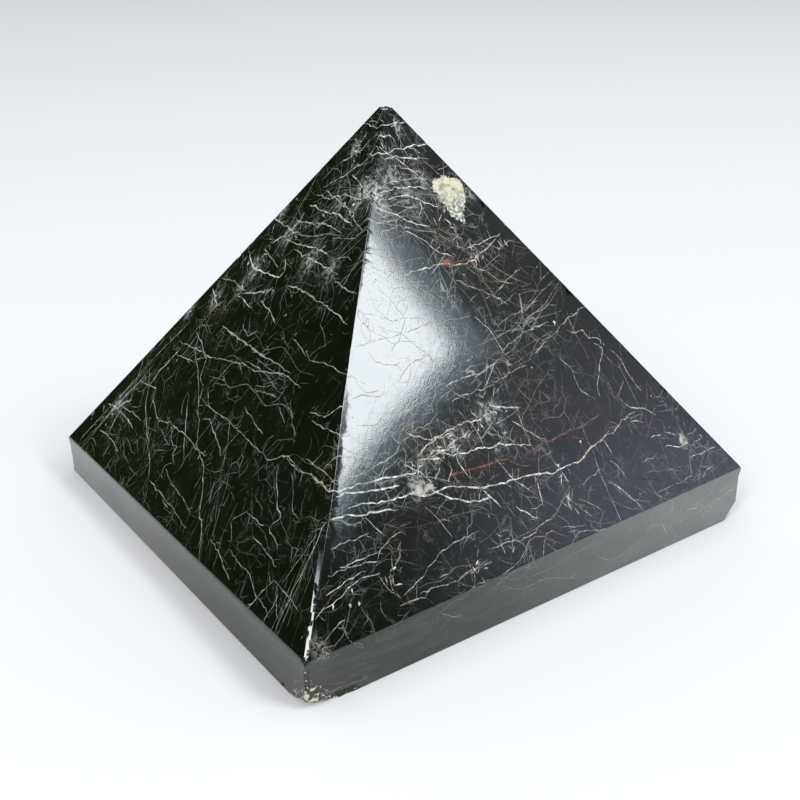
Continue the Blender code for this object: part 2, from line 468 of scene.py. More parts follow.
RIGHT_UPPER_VEINS = [
    [(585, 307), (572, 316), (564, 324), (558, 330), (552, 337), (541, 347), (535, 355)],
    [(548, 323), (532, 330), (520, 337), (509, 346), (501, 355)],
    [(526, 367), (513, 373), (503, 380), (493, 384)],
    [(503, 386), (495, 395)],
    [(496, 364), (490, 376), (485, 388)],
    [(567, 331), (572, 334), (583, 332), (589, 338), (600, 340), (601, 345)],
    [(593, 344), (603, 350), (600, 364), (599, 375), (597, 387), (600, 398)],
    [(466, 250), (478, 246), (490, 238), (500, 234)],
    [(470, 268), (486, 272), (500, 282), (512, 284)],
    [(456, 282), (474, 290), (492, 296), (508, 306)],
    [(520, 270), (508, 280), (498, 292), (486, 300)],
    [(474, 318), (488, 330), (498, 344), (504, 356)],
    [(446, 388), (462, 380), (478, 376), (496, 364)],
    [(452, 404), (466, 396), (480, 392), (494, 386)],
    [(536, 302), (522, 312), (510, 318), (498, 328)],
    [(610, 350), (622, 362), (630, 378), (642, 392)],
    [(560, 360), (572, 372), (578, 388), (590, 398)],
]
RIGHT_LOWER_VEINS = [
    [(365, 518), (374, 528), (385, 537)],
    [(379, 576), (387, 588), (395, 595), (401, 599)],
    [(479, 532), (461, 541), (443, 552), (432, 564), (423, 576), (410, 589), (403, 596)],
    [(454, 568), (448, 574), (440, 578)],
    [(479, 567), (465, 576), (451, 583), (435, 588), (420, 594)],
    [(315, 620), (323, 610), (333, 603), (349, 590), (357, 581), (380, 574)],
    [(340, 568), (352, 563), (365, 559), (379, 553)],
    [(331, 549), (349, 542), (369, 534)],
    [(378, 560), (381, 550), (391, 540), (401, 533)],
    [(395, 566), (400, 558), (398, 549), (401, 543)],
    [(325, 641), (332, 630), (345, 620)],
    [(338, 628), (350, 634)],
    [(600, 470), (589, 480), (578, 489)],
    [(574, 503), (582, 509), (592, 517)],
    [(579, 500), (590, 503), (602, 511)],
    [(555, 518), (540, 525), (535, 532), (524, 539), (508, 543), (492, 549)],
    [(543, 542), (551, 546), (558, 551)],
    [(559, 529), (572, 527), (586, 525)],
    [(568, 532), (584, 531), (607, 529)],
    [(569, 546), (580, 532)],
    [(460, 577), (478, 567), (492, 562)],
    [(328, 576), (344, 570), (360, 566), (380, 562)],
    [(326, 596), (338, 588), (352, 578), (366, 572)],
    [(400, 606), (412, 600), (426, 598)],
    [(318, 640), (330, 650), (340, 656)],
]
RIGHT_CORNER_VEINS = [
    [(600, 442), (606, 437), (613, 434), (622, 422), (635, 413)],
    [(631, 423), (639, 422), (643, 424)],
    [(651, 439), (656, 437), (661, 436)],
    [(664, 433), (671, 434), (676, 436)],
    [(665, 448), (670, 446), (678, 448), (685, 443), (688, 440)],
    [(687, 436), (692, 433), (696, 429)],
    [(642, 463), (653, 457), (657, 454)],
    [(646, 461), (650, 466)],
    [(655, 457), (659, 461)],
    [(689, 446), (696, 442), (702, 438)],
    [(689, 458), (702, 453), (716, 447)],
    [(608, 483), (618, 488), (633, 499), (644, 511)],
    [(620, 400), (630, 408), (644, 410), (656, 416)],
    [(610, 462), (620, 470), (626, 480)],
    [(712, 466), (706, 472), (702, 478)],
    [(697, 469), (701, 472), (698, 477)],
]
LEFT_TOP_VEINS = [
    [(375, 148), (364, 163), (354, 169), (344, 177), (334, 182), (323, 188)],
    [(326, 192), (338, 202), (346, 208), (354, 214), (354, 220), (364, 232)],
    [(275, 218), (285, 227), (292, 232), (298, 235), (294, 243)],
    [(249, 247), (250, 258), (254, 268), (264, 273), (279, 279), (285, 272), (285, 260)],
    [(264, 249), (271, 258), (278, 269)],
    [(295, 251), (309, 260), (326, 269), (338, 276)],
    [(335, 283), (345, 289), (357, 294)],
    [(287, 287), (303, 292), (317, 302), (334, 313), (347, 325)],
    [(318, 196), (330, 200), (344, 196), (358, 200), (370, 196)],
    [(310, 206), (324, 212), (338, 216), (352, 224)],
    [(296, 222), (310, 224), (326, 226), (342, 234)],
    [(352, 176), (360, 184), (366, 194), (372, 204)],
    [(340, 164), (350, 158), (362, 150), (370, 140)],
    [(286, 240), (300, 246), (316, 250), (330, 258)],
    [(304, 214), (296, 226), (284, 236), (272, 244)],
]
LEFT_EDGE_VEINS = [
    [(213, 289), (215, 300), (217, 307)],
    [(221, 278), (234, 282), (240, 288), (246, 291)],
    [(243, 295), (257, 294), (269, 292)],
    [(242, 299), (246, 305), (252, 309)],
    [(260, 303), (267, 307), (272, 317), (275, 325)],
    [(80, 440), (100, 418), (120, 397), (140, 374), (160, 352), (176, 337), (190, 322)],
    [(92, 434), (108, 416), (128, 394), (146, 376)],
    [(122, 407), (134, 414), (141, 422)],
    [(120, 412), (128, 421), (133, 430)],
    [(100, 430), (110, 438), (118, 452)],
    [(108, 404), (116, 408), (124, 404), (132, 400)],
    [(226, 300), (212, 312), (200, 326), (188, 342)],
    [(180, 350), (170, 362), (160, 372), (150, 386)],
]
LEFT_MIDDLE_VEINS = [
    [(200, 320), (200, 330), (198, 339), (196, 351), (196, 362), (198, 374), (199, 398), (198, 412),
     (199, 423), (198, 435), (197, 449), (200, 457), (204, 469), (203, 480), (202, 499), (200, 512),
     (201, 526), (200, 544), (199, 560)],
    [(150, 369), (149, 387), (146, 403), (146, 419), (147, 430), (148, 444), (149, 458), (150, 467),
     (148, 481)],
    [(141, 382), (149, 386), (156, 391), (153, 399), (156, 412), (159, 423), (168, 423), (172, 426),
     (172, 444), (177, 448), (173, 455), (174, 466)],
    [(223, 328), (234, 337), (246, 345), (262, 356)],
    [(293, 341), (300, 349), (306, 358)],
    [(180, 342), (196, 350), (212, 359), (229, 362), (246, 367), (254, 372), (267, 374), (285, 377),
     (300, 389)],
    [(177, 356), (189, 361), (195, 364)],
    [(195, 362), (209, 358)],
    [(223, 327), (240, 341), (253, 351), (268, 361), (278, 366), (290, 375)],
    [(199, 398), (212, 411), (229, 423), (240, 434), (252, 446), (266, 458), (271, 461), (288, 459),
     (299, 474)],
    [(285, 391), (280, 399), (271, 405)],
    [(255, 392), (267, 395), (277, 399)],
    [(284, 398), (292, 415), (292, 426), (296, 438)],
    [(245, 409), (252, 421), (258, 430), (262, 435)],
    [(208, 391), (208, 403), (212, 411)],
    [(202, 421), (209, 421), (215, 436), (219, 447), (221, 458)],
    [(239, 434), (226, 449), (221, 458)],
    [(173, 427), (187, 439), (197, 451), (206, 458)],
    [(310, 362), (322, 365), (331, 367), (341, 374), (348, 377)],
    [(310, 414), (325, 417), (336, 410), (344, 409)],
    [(312, 422), (324, 429), (332, 432), (340, 436), (350, 436), (354, 440)],
    [(310, 462), (321, 471), (332, 480), (336, 481)],
]
LEFT_LOWER_VEINS = [
    [(229, 550), (241, 566), (248, 572), (252, 582), (256, 596), (262, 603), (268, 617)],
    [(224, 557), (229, 550), (232, 535), (231, 523), (239, 517), (247, 513)],
    [(247, 514), (255, 521), (264, 527)],
    [(211, 540), (219, 554), (224, 567), (229, 580)],
    [(253, 538), (267, 554), (276, 568)],
    [(277, 470), (277, 491), (278, 510), (281, 519), (269, 531), (276, 542), (277, 552)],
    [(291, 475), (293, 491), (292, 511), (298, 520)],
    [(317, 535), (300, 559), (292, 570), (282, 584)],
    [(326, 520), (315, 547), (302, 574), (292, 592), (290, 599), (280, 616)],
    [(274, 581), (278, 585), (290, 600), (298, 611)],
    [(277, 586), (276, 608), (278, 619)],
    [(274, 581), (261, 594), (248, 608)],
    [(229, 477), (225, 495), (222, 503), (218, 517), (215, 529), (206, 550)],
    [(215, 483), (209, 505)],
    [(287, 460), (297, 471), (313, 476), (327, 489), (333, 492)],
    [(306, 460), (322, 472), (333, 480)],
    [(150, 481), (160, 494), (172, 508), (186, 528)],
    [(166, 470), (172, 486), (184, 500), (190, 516)],
]
BAND_VEINS = [
    [(502, 586), (512, 588), (524, 588), (545, 579), (561, 578), (577, 578)],
    [(593, 550), (600, 558), (610, 560), (621, 555), (640, 542)],
    [(634, 548), (623, 564)],
    [(313, 696), (325, 694), (338, 690), (352, 684), (366, 679), (368, 676), (364, 675)],
    [(316, 694), (330, 691), (344, 686), (360, 680), (367, 677)],
    [(322, 684), (330, 684), (337, 683)],
    [(335, 686), (341, 682), (348, 682)],
    [(440, 612), (452, 617), (462, 614)],
    [(662, 538), (668, 530), (674, 520)],
    [(690, 508), (704, 498), (716, 487)],
]
RUST_VEINS = [
    [(601, 415), (583, 427), (566, 434), (555, 440), (543, 446), (532, 453), (525, 455)],
    [(509, 460), (495, 464), (474, 471), (449, 477)],
    [(441, 263), (452, 265), (463, 262), (482, 254), (496, 239)],
]
DARK_CRACKS = [
    [(77, 459), (78, 470), (81, 486), (84, 499)],
    [(636, 478), (650, 480), (664, 481), (676, 485), (690, 486)],
    [(309, 668), (308, 678), (309, 690)],
]
BRIGHT_SPOTS = [
    (307, 266), (555, 323), (569, 502), (353, 594), (333, 610), (350, 608), (359, 606), (702, 438),
    (116, 405), (581, 442), (397, 131), (354, 216), (354, 206), (292, 232), (250, 262), (200, 457),
]
PIT_LOOPS = [(366, 322), (366, 333), (362, 318), (370, 326)]

# Mineral patches: their outlines on the photo
PATCHES = {
    "cream": [(431, 183), (440, 178), (448, 175), (457, 178), (464, 188), (466, 198), (464, 208), (466, 228),
               (461, 221), (453, 219), (448, 212), (443, 202), (438, 196), (433, 189)],
    "grey": [(408, 483), (414, 482), (425, 482), (432, 484), (440, 486), (432, 492), (425, 496), (418, 500),
              (413, 495), (409, 490)],
    "corner": [(679, 437), (686, 437), (688, 441), (684, 446), (679, 446)],
    "rust": [(440, 261), (448, 259), (452, 264), (446, 268), (440, 266)],
}
# The cream patch's lower and upper ends
CREAM_ENDS = ((461, 222), (448, 180))
# Milky clouds in the stone: a pixel of the photo, the cloud's radius in mm and its strength
CLOUD_FALL = 2.6
CLOUDS = [
    (364, 192, 2.0, 1.0), (378, 198, 1.8, 1.0), (392, 182, 2.4, 0.6), (408, 196, 2.4, 0.5),
    (420, 180, 1.8, 0.5), (355, 148, 1.1, 0.6), (400, 131, 0.8, 0.7), (372, 186, 1.8, 0.8),
    (440, 200, 1.1, 0.6), (469, 193, 1.1, 0.6), (485, 416, 1.5, 0.8), (495, 412, 1.1, 0.8),
    (453, 444, 1.5, 0.8), (463, 438, 1.1, 0.5), (497, 453, 0.6, 0.7), (420, 464, 1.0, 0.5),
    (432, 459, 1.0, 0.5), (282, 212, 1.5, 0.6), (288, 235, 1.4, 0.6), (340, 203, 1.4, 0.4),
    (255, 268, 1.5, 0.7), (310, 262, 2.0, 0.6), (330, 272, 1.8, 0.5), (215, 298, 1.5, 0.7),
    (190, 312, 1.4, 0.6), (118, 406, 1.5, 0.7), (240, 290, 1.1, 0.5), (415, 488, 1.7, 0.6),
    (683, 441, 1.1, 0.5), (569, 502, 0.7, 0.6), (320, 650, 1.4, 0.5), (545, 452, 1.0, 0.3),
]

# Where hairlines crowd: a pixel of the photo, the crowd's radius in mm, its count, and its run as a step
# in pixels
CROWDS = [
    (392, 145, 4, 10, (3, 2)), (412, 190, 6, 26, (5, -1)), (436, 225, 6, 30, (3, 2)),
    (400, 225, 5, 18, (5, 0)), (455, 262, 5, 20, (4, -1)), (490, 258, 5, 16, (3, -2)),
    (500, 300, 8, 22, (2, -1)), (540, 330, 7, 24, (2, -2)), (470, 330, 7, 14, (1, -2)),
    (495, 380, 7, 22, (2, -1)), (450, 385, 6, 12, (2, -1)), (400, 330, 7, 12, (2, 2)),
    (430, 455, 6, 30, (3, -1)), (480, 435, 7, 28, (3, -2)), (530, 460, 7, 22, (4, -1)),
    (570, 440, 7, 16, (3, -2)), (400, 485, 6, 20, (5, -1)), (360, 500, 6, 16, (4, -1)),
    (460, 505, 8, 18, (3, -1)), (520, 515, 8, 9, (2, 1)), (350, 545, 6, 9, (3, -1)),
    (400, 545, 7, 8, (2, -1)), (350, 590, 5, 12, (3, -2)), (410, 590, 7, 14, (2, -1)),
    (460, 570, 7, 9, (3, -2)), (520, 545, 7, 11, (3, -1)), (590, 500, 7, 8, (2, 1)),
    (600, 370, 6, 12, (1, 2)), (640, 430, 7, 16, (3, -1)), (690, 445, 5, 12, (2, 1)),
    (620, 480, 7, 8, (2, 1)), (340, 640, 4, 5, (1, -1)), (362, 165, 5, 20, (-2, 3)),
    (335, 205, 5, 34, (-3, 1)), (305, 232, 5, 26, (-2, 1)), (345, 240, 5, 18, (3, 2)),
    (270, 262, 5, 22, (-1, 2)), (325, 272, 5, 26, (3, 2)), (235, 290, 5, 22, (-2, 2)),
    (200, 330, 5, 20, (-2, 3)), (160, 370, 5, 18, (-2, 3)), (120, 412, 4, 22, (-2, 3)),
    (90, 440, 3, 10, (2, 3)), (260, 330, 7, 8, (3, 2)), (310, 340, 6, 7, (2, 2)),
    (230, 365, 7, 10, (4, 1)), (280, 390, 7, 8, (2, 3)), (200, 400, 6, 14, (0, 3)),
    (160, 430, 6, 24, (0, 3)), (115, 440, 4, 22, (1, 2)), (150, 470, 5, 18, (0, 3)),
    (240, 430, 7, 10, (2, 2)), (290, 450, 6, 8, (1, 3)), (130, 460, 5, 20, (1, 2)),
    (170, 500, 6, 12, (1, 2)), (215, 500, 7, 18, (-1, 3)), (260, 500, 7, 10, (1, 3)),
    (300, 520, 6, 10, (-1, 3)), (230, 560, 6, 11, (2, 3)), (280, 580, 6, 12, (-1, 3)),
    (300, 620, 4, 8, (-1, 3)), (688, 482, 3, 16, (3, -2)), (664, 500, 4, 14, (3, -2)),
    (710, 495, 4, 12, (1, -2)), (640, 525, 4, 12, (3, -1)), (570, 560, 5, 8, (3, -1)),
    (480, 600, 5, 7, (3, -1)), (400, 640, 5, 9, (3, -1)), (345, 668, 4, 12, (3, -1)),
    (296, 672, 3, 8, (2, 3)), (240, 640, 5, 5, (3, 2)),
]
# Bunches of long hairlines that run alongside each other: first and last pixel of the run, width in mm,
# and count
BUNCHES = [
    ((326, 252), (402, 246), 5.5, 34), ((335, 286), (400, 262), 4.0, 14),
    ((368, 222), (430, 214), 4.0, 16), ((300, 208), (366, 196), 2.2, 10),
    ((290, 226), (352, 232), 2.0, 8), ((372, 300), (420, 268), 4.0, 10),
    ((560, 300), (490, 380), 3.5, 12), ((440, 240), (520, 320), 5.0, 9),
    ((460, 410), (560, 350), 6.0, 9), ((330, 520), (470, 492), 3.0, 9),
    ((320, 640), (400, 560), 3.5, 11), ((322, 600), (420, 540), 4.0, 7),
    ((440, 600), (600, 510), 5.0, 9), ((84, 440), (190, 322), 1.5, 9), ((215, 470), (202, 560), 2.0, 7),
    ((262, 470), (290, 600), 4.0, 8), ((310, 520), (285, 625), 2.0, 9), ((300, 560), (268, 640), 2.0, 6),
    ((196, 350), (300, 390), 3.0, 7), ((600, 350), (640, 440), 3.0, 7), ((640, 400), (730, 455), 3.0, 7),
]
# Bright crumbs of the pale mineral: pixels of the photo
CRUMBS = [
    (290, 206), (278, 217), (290, 237), (325, 219), (342, 205), (352, 215), (251, 252), (255, 272),
    (267, 252), (240, 290), (267, 292), (215, 295), (217, 305), (190, 312), (307, 265), (316, 261),
    (367, 199), (362, 185), (381, 131), (398, 131), (360, 148), (353, 152), (396, 176), (382, 186),
    (372, 197), (376, 192), (410, 152), (440, 222), (447, 214), (455, 232), (116, 404), (120, 410),
    (104, 414), (500, 240), (472, 250), (476, 262), (486, 405), (494, 410), (470, 428), (480, 421),
    (444, 450), (452, 444), (497, 434), (560, 473), (419, 463), (439, 461), (350, 640), (318, 655),
    (321, 648), (480, 570), (508, 545), (390, 580), (569, 502), (686, 441),
]
# The brighter hairlines on the band's dull ends, listed as the crowds are, and how much brighter they are
BAND_CROWDS = [
    (726, 494, 2.2, 16, (3, -2)), (708, 506, 2.4, 16, (3, -1)), (686, 512, 2.4, 12, (3, -2)),
    (660, 526, 2.4, 10, (3, -2)), (88, 470, 2.2, 8, (2, 3)),
]
BAND_BRIGHTNESS = 3.0
# Where the seeded hairlines are fainter than elsewhere: a pixel of the photo and a radius in mm; how faint
FAINT_PLACES = [(385, 548, 9.0), (365, 612, 8.0), (250, 560, 7.0)]
FAINTNESS = 0.5
# Seeded at random: crowds and main veins on the hidden faces, and hairlines and flecks anywhere
HIDDEN_CROWDS = 34
HIDDEN_VEINS = 46
LOOSE_HAIRLINES = 110
LOOSE_FLECKS = 200
# How far from the middle of the net the loose ones start at most
HAIRLINE_REACH = 44
FLECK_REACH = 46

# The half width in mm and the tone of each group of veins
VEIN_GROUPS = [
    (RIGHT_TIP_VEINS, 0.055, 0.9),
    (HIGHLIGHT_VEINS, 0.045, 0.5),
    (RIGHT_MIDDLE_VEINS, 0.062, 1.0),
    (RIGHT_UPPER_VEINS, 0.045, 0.7),
    (RIGHT_LOWER_VEINS, 0.040, 0.6),
    (RIGHT_CORNER_VEINS, 0.045, 0.8),
    (LEFT_TOP_VEINS, 0.055, 1.0),
    (LEFT_EDGE_VEINS, 0.055, 0.95),
    (LEFT_MIDDLE_VEINS, 0.042, 0.7),
    (LEFT_LOWER_VEINS, 0.042, 0.6),
    (BAND_VEINS, 0.045, 0.7),
]
RUST_HALF, RUST_TONE = 0.08, 0.8
CRACK_HALF, CRACK_TONE = 0.07, 0.9
SPOT_HALF = 0.11
PIT_HALF, PIT_TONE = 0.04, 0.6
TWIG_HALF = 0.035
# No vein is drawn with a smaller half width than this
THINNEST = 0.025
# How far the points of a vein stray from its smooth course, for the read veins and for the rest
READ_JITTER = 0.06
JITTER = 0.035
# Seeded veins stay this far inside the foot
FOOT_CLEARANCE = 0.3


# Courses of the veins

def net_line(pixels):
    return np.array([net_place(x, y) for x, y in pixels])


def random_place(rng, reach):
    return np.array((rng.uniform(-reach, reach), rng.uniform(-reach, reach)))


def smooth_line(knots, spacing=0.65):
    """Points on a smooth curve through the knots."""
    knots = np.vstack((2 * knots[0] - knots[1], knots, 2 * knots[-1] - knots[-2]))
    points = []
    for before, start, end, after in zip(knots, knots[1:], knots[2:], knots[3:]):
        count = max(1, round(np.linalg.norm(end - start) / spacing))
        bend = 2 * before - 5 * start + 4 * end - after
        twist = 3 * start - 3 * end + after - before
        for t in np.arange(count) / count:
            points.append(0.5 * (2 * start + (end - before) * t + bend * t ** 2 + twist * t ** 3))
    points.append(knots[-2])
    return np.array(points)


def vein(points, width, tone, rng, jitter=JITTER):
    """A vein's slightly kinked course, with its half width and tone at each point; both fade at the ends."""
    points = np.array(points, float)
    if len(points) > 2:
        points[1:-1] += np.array([(rng.gauss(0, jitter), rng.gauss(0, jitter)) for _ in points[1:-1]])
    share = np.linspace(0, 1, len(points))
    taper = np.minimum(1, np.minimum(share, 1 - share) * 8 + 0.4)
    swell = np.array([rng.uniform(0.5, 1.4) for _ in points])
    lift = np.array([rng.uniform(0.5, 1.1) for _ in points])
    half = np.maximum(width * taper * swell, THINNEST)
    return {"points": points, "half": half, "tone": np.clip(tone * taper ** 0.5 * lift, 0, 1)}


def grow(start, heading, length, rng, wander=0.10, step=0.95):
    """The course of a hairline: nearly straight runs with a sharp turn now and then."""
    points = [np.array(start, float)]
    for _ in range(max(2, round(length / step))):
        heading += rng.gauss(0, wander)
        if rng.random() < 0.2:
            heading += rng.choice((-1, 1)) * rng.uniform(0.3, 0.9)
        points.append(points[-1] + step * np.array((math.cos(heading), math.sin(heading))))
    return np.array(points), heading


def twigs(course, rng, gap=2.0):
    """Short side branches along a vein."""
    points = course["points"]
    found = []
    for start, end, tone in zip(points, points[1:], course["tone"]):
        if rng.random() > np.linalg.norm(end - start) / gap:
            continue
        ahead = math.atan2(end[1] - start[1], end[0] - start[0])
        heading = ahead + rng.choice((-1, 1)) * rng.uniform(0.3, 1.3)
        line, _ = grow(start, heading, rng.uniform(0.4, 1.5), rng, step=0.4)
        found.append(vein(line, TWIG_HALF, tone * rng.uniform(0.3, 0.8), rng))
    return found


def read_veins(rng):
    """The veins read off the photo, with twigs."""
    veins = []
    for group, width, tone in VEIN_GROUPS:
        for pixels in group:
            width_here = width * rng.uniform(0.75, 1.15)
            tone_here = tone * rng.uniform(0.6, 1.15)
            main = vein(smooth_line(net_line(pixels)), width_here, tone_here, rng, READ_JITTER)
            veins.append(main)
            veins += twigs(main, rng)
    return veins


def plain_veins(rows, half, tone, rng):
    """Veins read off the photo, without twigs."""
    return [vein(smooth_line(net_line(pixels)), half, tone, rng) for pixels in rows]


def inside_net(points):
    return np.abs(points).max() < HALF + BAND_SPREAD - FOOT_CLEARANCE


def hairline_tone(rng):
    """Most hairlines are faint and a few are bright."""
    return min(0.9, rng.lognormvariate(-2.2, 0.85))


def crowd_veins(middle, radius, count, heading, rng):
    """Hairlines of one crowd: mostly alongside each other, some across, with forks."""
    veins = []
    for _ in range(count):
        angle, out = rng.uniform(0, math.tau), radius * abs(rng.gauss(0, 0.6))
        start = middle + out * np.array((math.cos(angle), math.sin(angle)))
        turned = heading + (rng.gauss(0, 0.25) if rng.random() < 0.62 else rng.uniform(-1.5, 1.5))
        turned += rng.choice((0, math.pi))
        length = rng.lognormvariate(1.1, 0.6)
        line, end_heading = grow(start, turned, length, rng)
        tone, width = hairline_tone(rng), rng.uniform(0.028, 0.045)
        if inside_net(line):
            veins.append(vein(line, width, tone, rng))
        if rng.random() < 0.25:
            aside = end_heading + rng.choice((-1, 1)) * rng.uniform(0.4, 1.0)
            branch, _ = grow(line[len(line) // 2], aside, length * 0.5, rng)
            if inside_net(branch):
                veins.append(vein(branch, width * 0.8, tone * 0.8, rng))
    return veins


def bunch_veins(first, last, width, count, rng):
    """Long hairlines alongside each other, which start and stop at different places of the run."""
    start, end = net_place(*first), net_place(*last)
    along = end - start
    aside = np.array((-along[1], along[0])) / np.linalg.norm(along)
    veins = []
    for _ in range(count):
        low, high = sorted((rng.uniform(-0.1, 0.9), rng.uniform(0.1, 1.1)))
        shares = np.linspace(low, high, max(3, round((high - low) * np.linalg.norm(along) / 3)))
        knots = [start + along * share + aside * (rng.gauss(0, width / 2) * 0.3) for share in shares]
        knots = np.array(knots) + aside * rng.gauss(0, width / 2)
        if np.linalg.norm(knots[-1] - knots[0]) > 1.5 and inside_net(knots):
            half, tone = rng.uniform(0.028, 0.042), rng.uniform(0.08, 0.45)
            veins.append(vein(smooth_line(knots, 1.2), half, tone, rng))
    return veins


def in_the_photo(place):
    """Whether a place on the net lies in the two faces, or sides of the band, that the photo shows."""
    return place[0] < 0 and place[0] < -abs(place[1]) or place[1] < 0 and place[1] < -abs(place[0])


def hidden_veins(rng):
    """Main veins on the faces that the photo doesn't show, like those on the faces that it does."""
    veins = []
    while len(veins) < HIDDEN_VEINS:
        start = random_place(rng, HALF)
        line, _ = grow(start, rng.uniform(0, math.tau), rng.lognormvariate(2.3, 0.5), rng, wander=0.2)
        if inside_net(line) and not any(in_the_photo(place) for place in line):
            veins.append(vein(line, rng.uniform(0.04, 0.06), rng.uniform(0.4, 1.0), rng, jitter=0.09))
    return veins


def loose_hairlines(rng):
    """Single hairlines anywhere on the stone."""
    veins = []
    for _ in range(LOOSE_HAIRLINES):
        start = random_place(rng, HAIRLINE_REACH)
        line, _ = grow(start, rng.uniform(0, math.tau), rng.lognormvariate(1.3, 0.6), rng)
        if inside_net(line):
            veins.append(vein(line, rng.uniform(0.026, 0.04), rng.uniform(0.05, 0.3), rng))
    return veins


def listed_crowds(rows):
    """Each listed crowd's middle on the net, its radius and count, and the way that it runs."""
    for x, y, radius, count, (step_x, step_y) in rows:
        middle = net_place(x, y)
        ahead = net_place(x + step_x, y + step_y) - middle
        yield middle, radius, count, math.atan2(ahead[1], ahead[0])


def hairlines(rng):
    """The seeded hairlines: crowded as in the photo, the same on the hidden faces, and loose ones."""
    veins = []
    crowds = []
    for middle, radius, count, heading in listed_crowds(CROWDS):
        veins += crowd_veins(middle, radius, count, heading, rng)
        crowds.append((middle, radius, count))
    for first, last, width, count in BUNCHES:
        veins += bunch_veins(first, last, width, count, rng)
    while len(crowds) < len(CROWDS) + HIDDEN_CROWDS:
        middle = random_place(rng, HALF)
        if not in_the_photo(middle):
            radius, count = rng.uniform(5, 8), rng.randint(6, 20)
            veins += crowd_veins(middle, radius, count, rng.uniform(0, math.pi), rng)
            crowds.append((middle, radius, 2 * count))
    veins += hidden_veins(rng)
    veins += loose_hairlines(rng)
    return veins, crowds


def made_fainter(course):
    """The course of a hairline with its tone lowered where the photo's hairlines are faint."""
    tone = course["tone"]
    for x, y, radius in FAINT_PLACES:
        away = np.linalg.norm(course["points"] - net_place(x, y), axis=1)
        tone = tone * (FAINTNESS + (1 - FAINTNESS) * smooth_step(radius * 0.6, radius * 1.4, away))
    return dict(course, tone=tone)


def band_hairlines(rng):
    """The brighter hairlines on the band's dull ends."""
    veins = []
    for middle, radius, count, heading in listed_crowds(BAND_CROWDS):
        veins += crowd_veins(middle, radius, count, heading, rng)
    return [dict(course, tone=np.minimum(1, course["tone"] * BAND_BRIGHTNESS)) for course in veins]


def crumb_clusters(rng):
    """Clusters of short bright strokes."""
    strokes = []
    for x, y in CRUMBS:
        middle = net_place(x, y)
        for _ in range(rng.randint(4, 8)):
            start = middle + np.array((rng.gauss(0, 0.5), rng.gauss(0, 0.5)))
            line, _ = grow(start, rng.uniform(0, math.tau), rng.uniform(0.4, 1.2), rng, step=0.35)
            strokes.append(vein(line, rng.uniform(0.035, 0.08), rng.uniform(0.35, 1.0), rng))
    return strokes


def bright_spots(rng):
    strokes = []
    for x, y in BRIGHT_SPOTS:
        line, _ = grow(net_place(x, y), rng.uniform(0, math.pi), 0.4, rng, step=0.13)
        strokes.append(vein(line, SPOT_HALF, 1.0, rng))
    return strokes


def loose_flecks(rng):
    """Small flecks scattered among the veins."""
    strokes = []
    for _ in range(LOOSE_FLECKS):
        start = random_place(rng, FLECK_REACH)
        line, _ = grow(start, rng.uniform(0, math.pi), 0.3, rng, step=0.16)
        strokes.append(vein(line, rng.uniform(0.035, 0.08), rng.uniform(0.2, 0.8), rng, jitter=0))
    return strokes


def pit_rings(rng):
    """Small ring-shaped pits by the front arris."""
    rings = []
    for x, y in PIT_LOOPS:
        radius = rng.uniform(0.35, 0.6)
        turn = np.linspace(0, math.tau, 12)
        ring = net_place(x, y) + radius * np.column_stack((np.cos(turn), 1.3 * np.sin(turn)))
        rings.append(vein(ring, PIT_HALF, PIT_TONE, rng))
    return rings


def pale_courses(rng):
    """Every pale vein, crumb and pit, and the crowds of the seeded hairlines."""
    read = read_veins(rng)
    seeded, crowds = hairlines(rng)
    seeded = [made_fainter(course) for course in seeded]
    small = crumb_clusters(rng) + bright_spots(rng) + loose_flecks(rng) + pit_rings(rng)
    return read + seeded + small + band_hairlines(random.Random(SEED)), crowds


# The net's mesh

# A line of points runs this close to each side of the rim and of the foot
RIM_EDGE = 0.13
FOOT_EDGE = 0.25
FOOT_RING = HALF + BAND_SPREAD
# Spacing of the points all over and of those within a reach of the arrises
FIELD = ((1.3, 99), (0.65, 3.5))
BAND_SPACING = 1.4
BREAK_SPACING = 0.21
SMALL_BREAK_SPACING = 0.14
PATCH_SPACING = 0.22
PATCH_MARGIN = 0.8
# Points closer than this become one
SAME_POINT = 0.004


class Net:
    """Points and the lines between them that the mesh has to keep."""

    def __init__(self):
        self.points = []
        self.edges = []

    def add_line(self, points, closed=False):
        start = len(self.points)
        self.add_points(points)
        count = len(points)
        self.edges += [(start + k, start + k + 1) for k in range(count - 1)]
        if closed:
            self.edges.append((start + count - 1, start))

    def add_points(self, points):
        self.points += [tuple(point) for point in points]


def add_ribbon(net, course):
    """A vein's outline on the net."""
    points = course["points"]
    along = np.gradient(points, axis=0)
    along /= np.maximum(np.linalg.norm(along, axis=1), 1e-9)[:, None]
    aside = np.column_stack((-along[:, 1], along[:, 0])) * course["half"][:, None]
    limit = NET_HALF - 0.2
    outline = np.vstack((points - aside, (points + aside)[::-1]))
    net.add_line(np.clip(outline, -limit, limit), closed=True)


def square_ring(half, spacing):
    """Points round a square, from one corner to the last point before it."""
    count = max(4, round(2 * half / spacing))
    steps = -half + 2 * half * np.arange(count) / count
    edge = np.full(count, half)
    sides = ((steps, -edge), (edge, steps), (-steps, edge), (-edge, -steps))
    return np.vstack([np.column_stack(side) for side in sides])


def add_arris(net, corner):
    """The edges and the middle of an arris's facet."""
    start = CORNERS[corner][:2]
    direction, length, rise = arris_frame(corner)
    aside = np.array((-direction[1], direction[0]))
    steps = np.linspace(0.15, length - 0.3, 90)
    spine = start + steps[:, None] * direction
    half = facet_width(corner, steps * np.hypot(length, rise) / length) / 2
    soft = FACET_SOFTNESS
    for offset in (-half - soft, -half + soft, 0 * half, half - soft, half + soft):
        net.add_line(spine + offset[:, None] * aside)


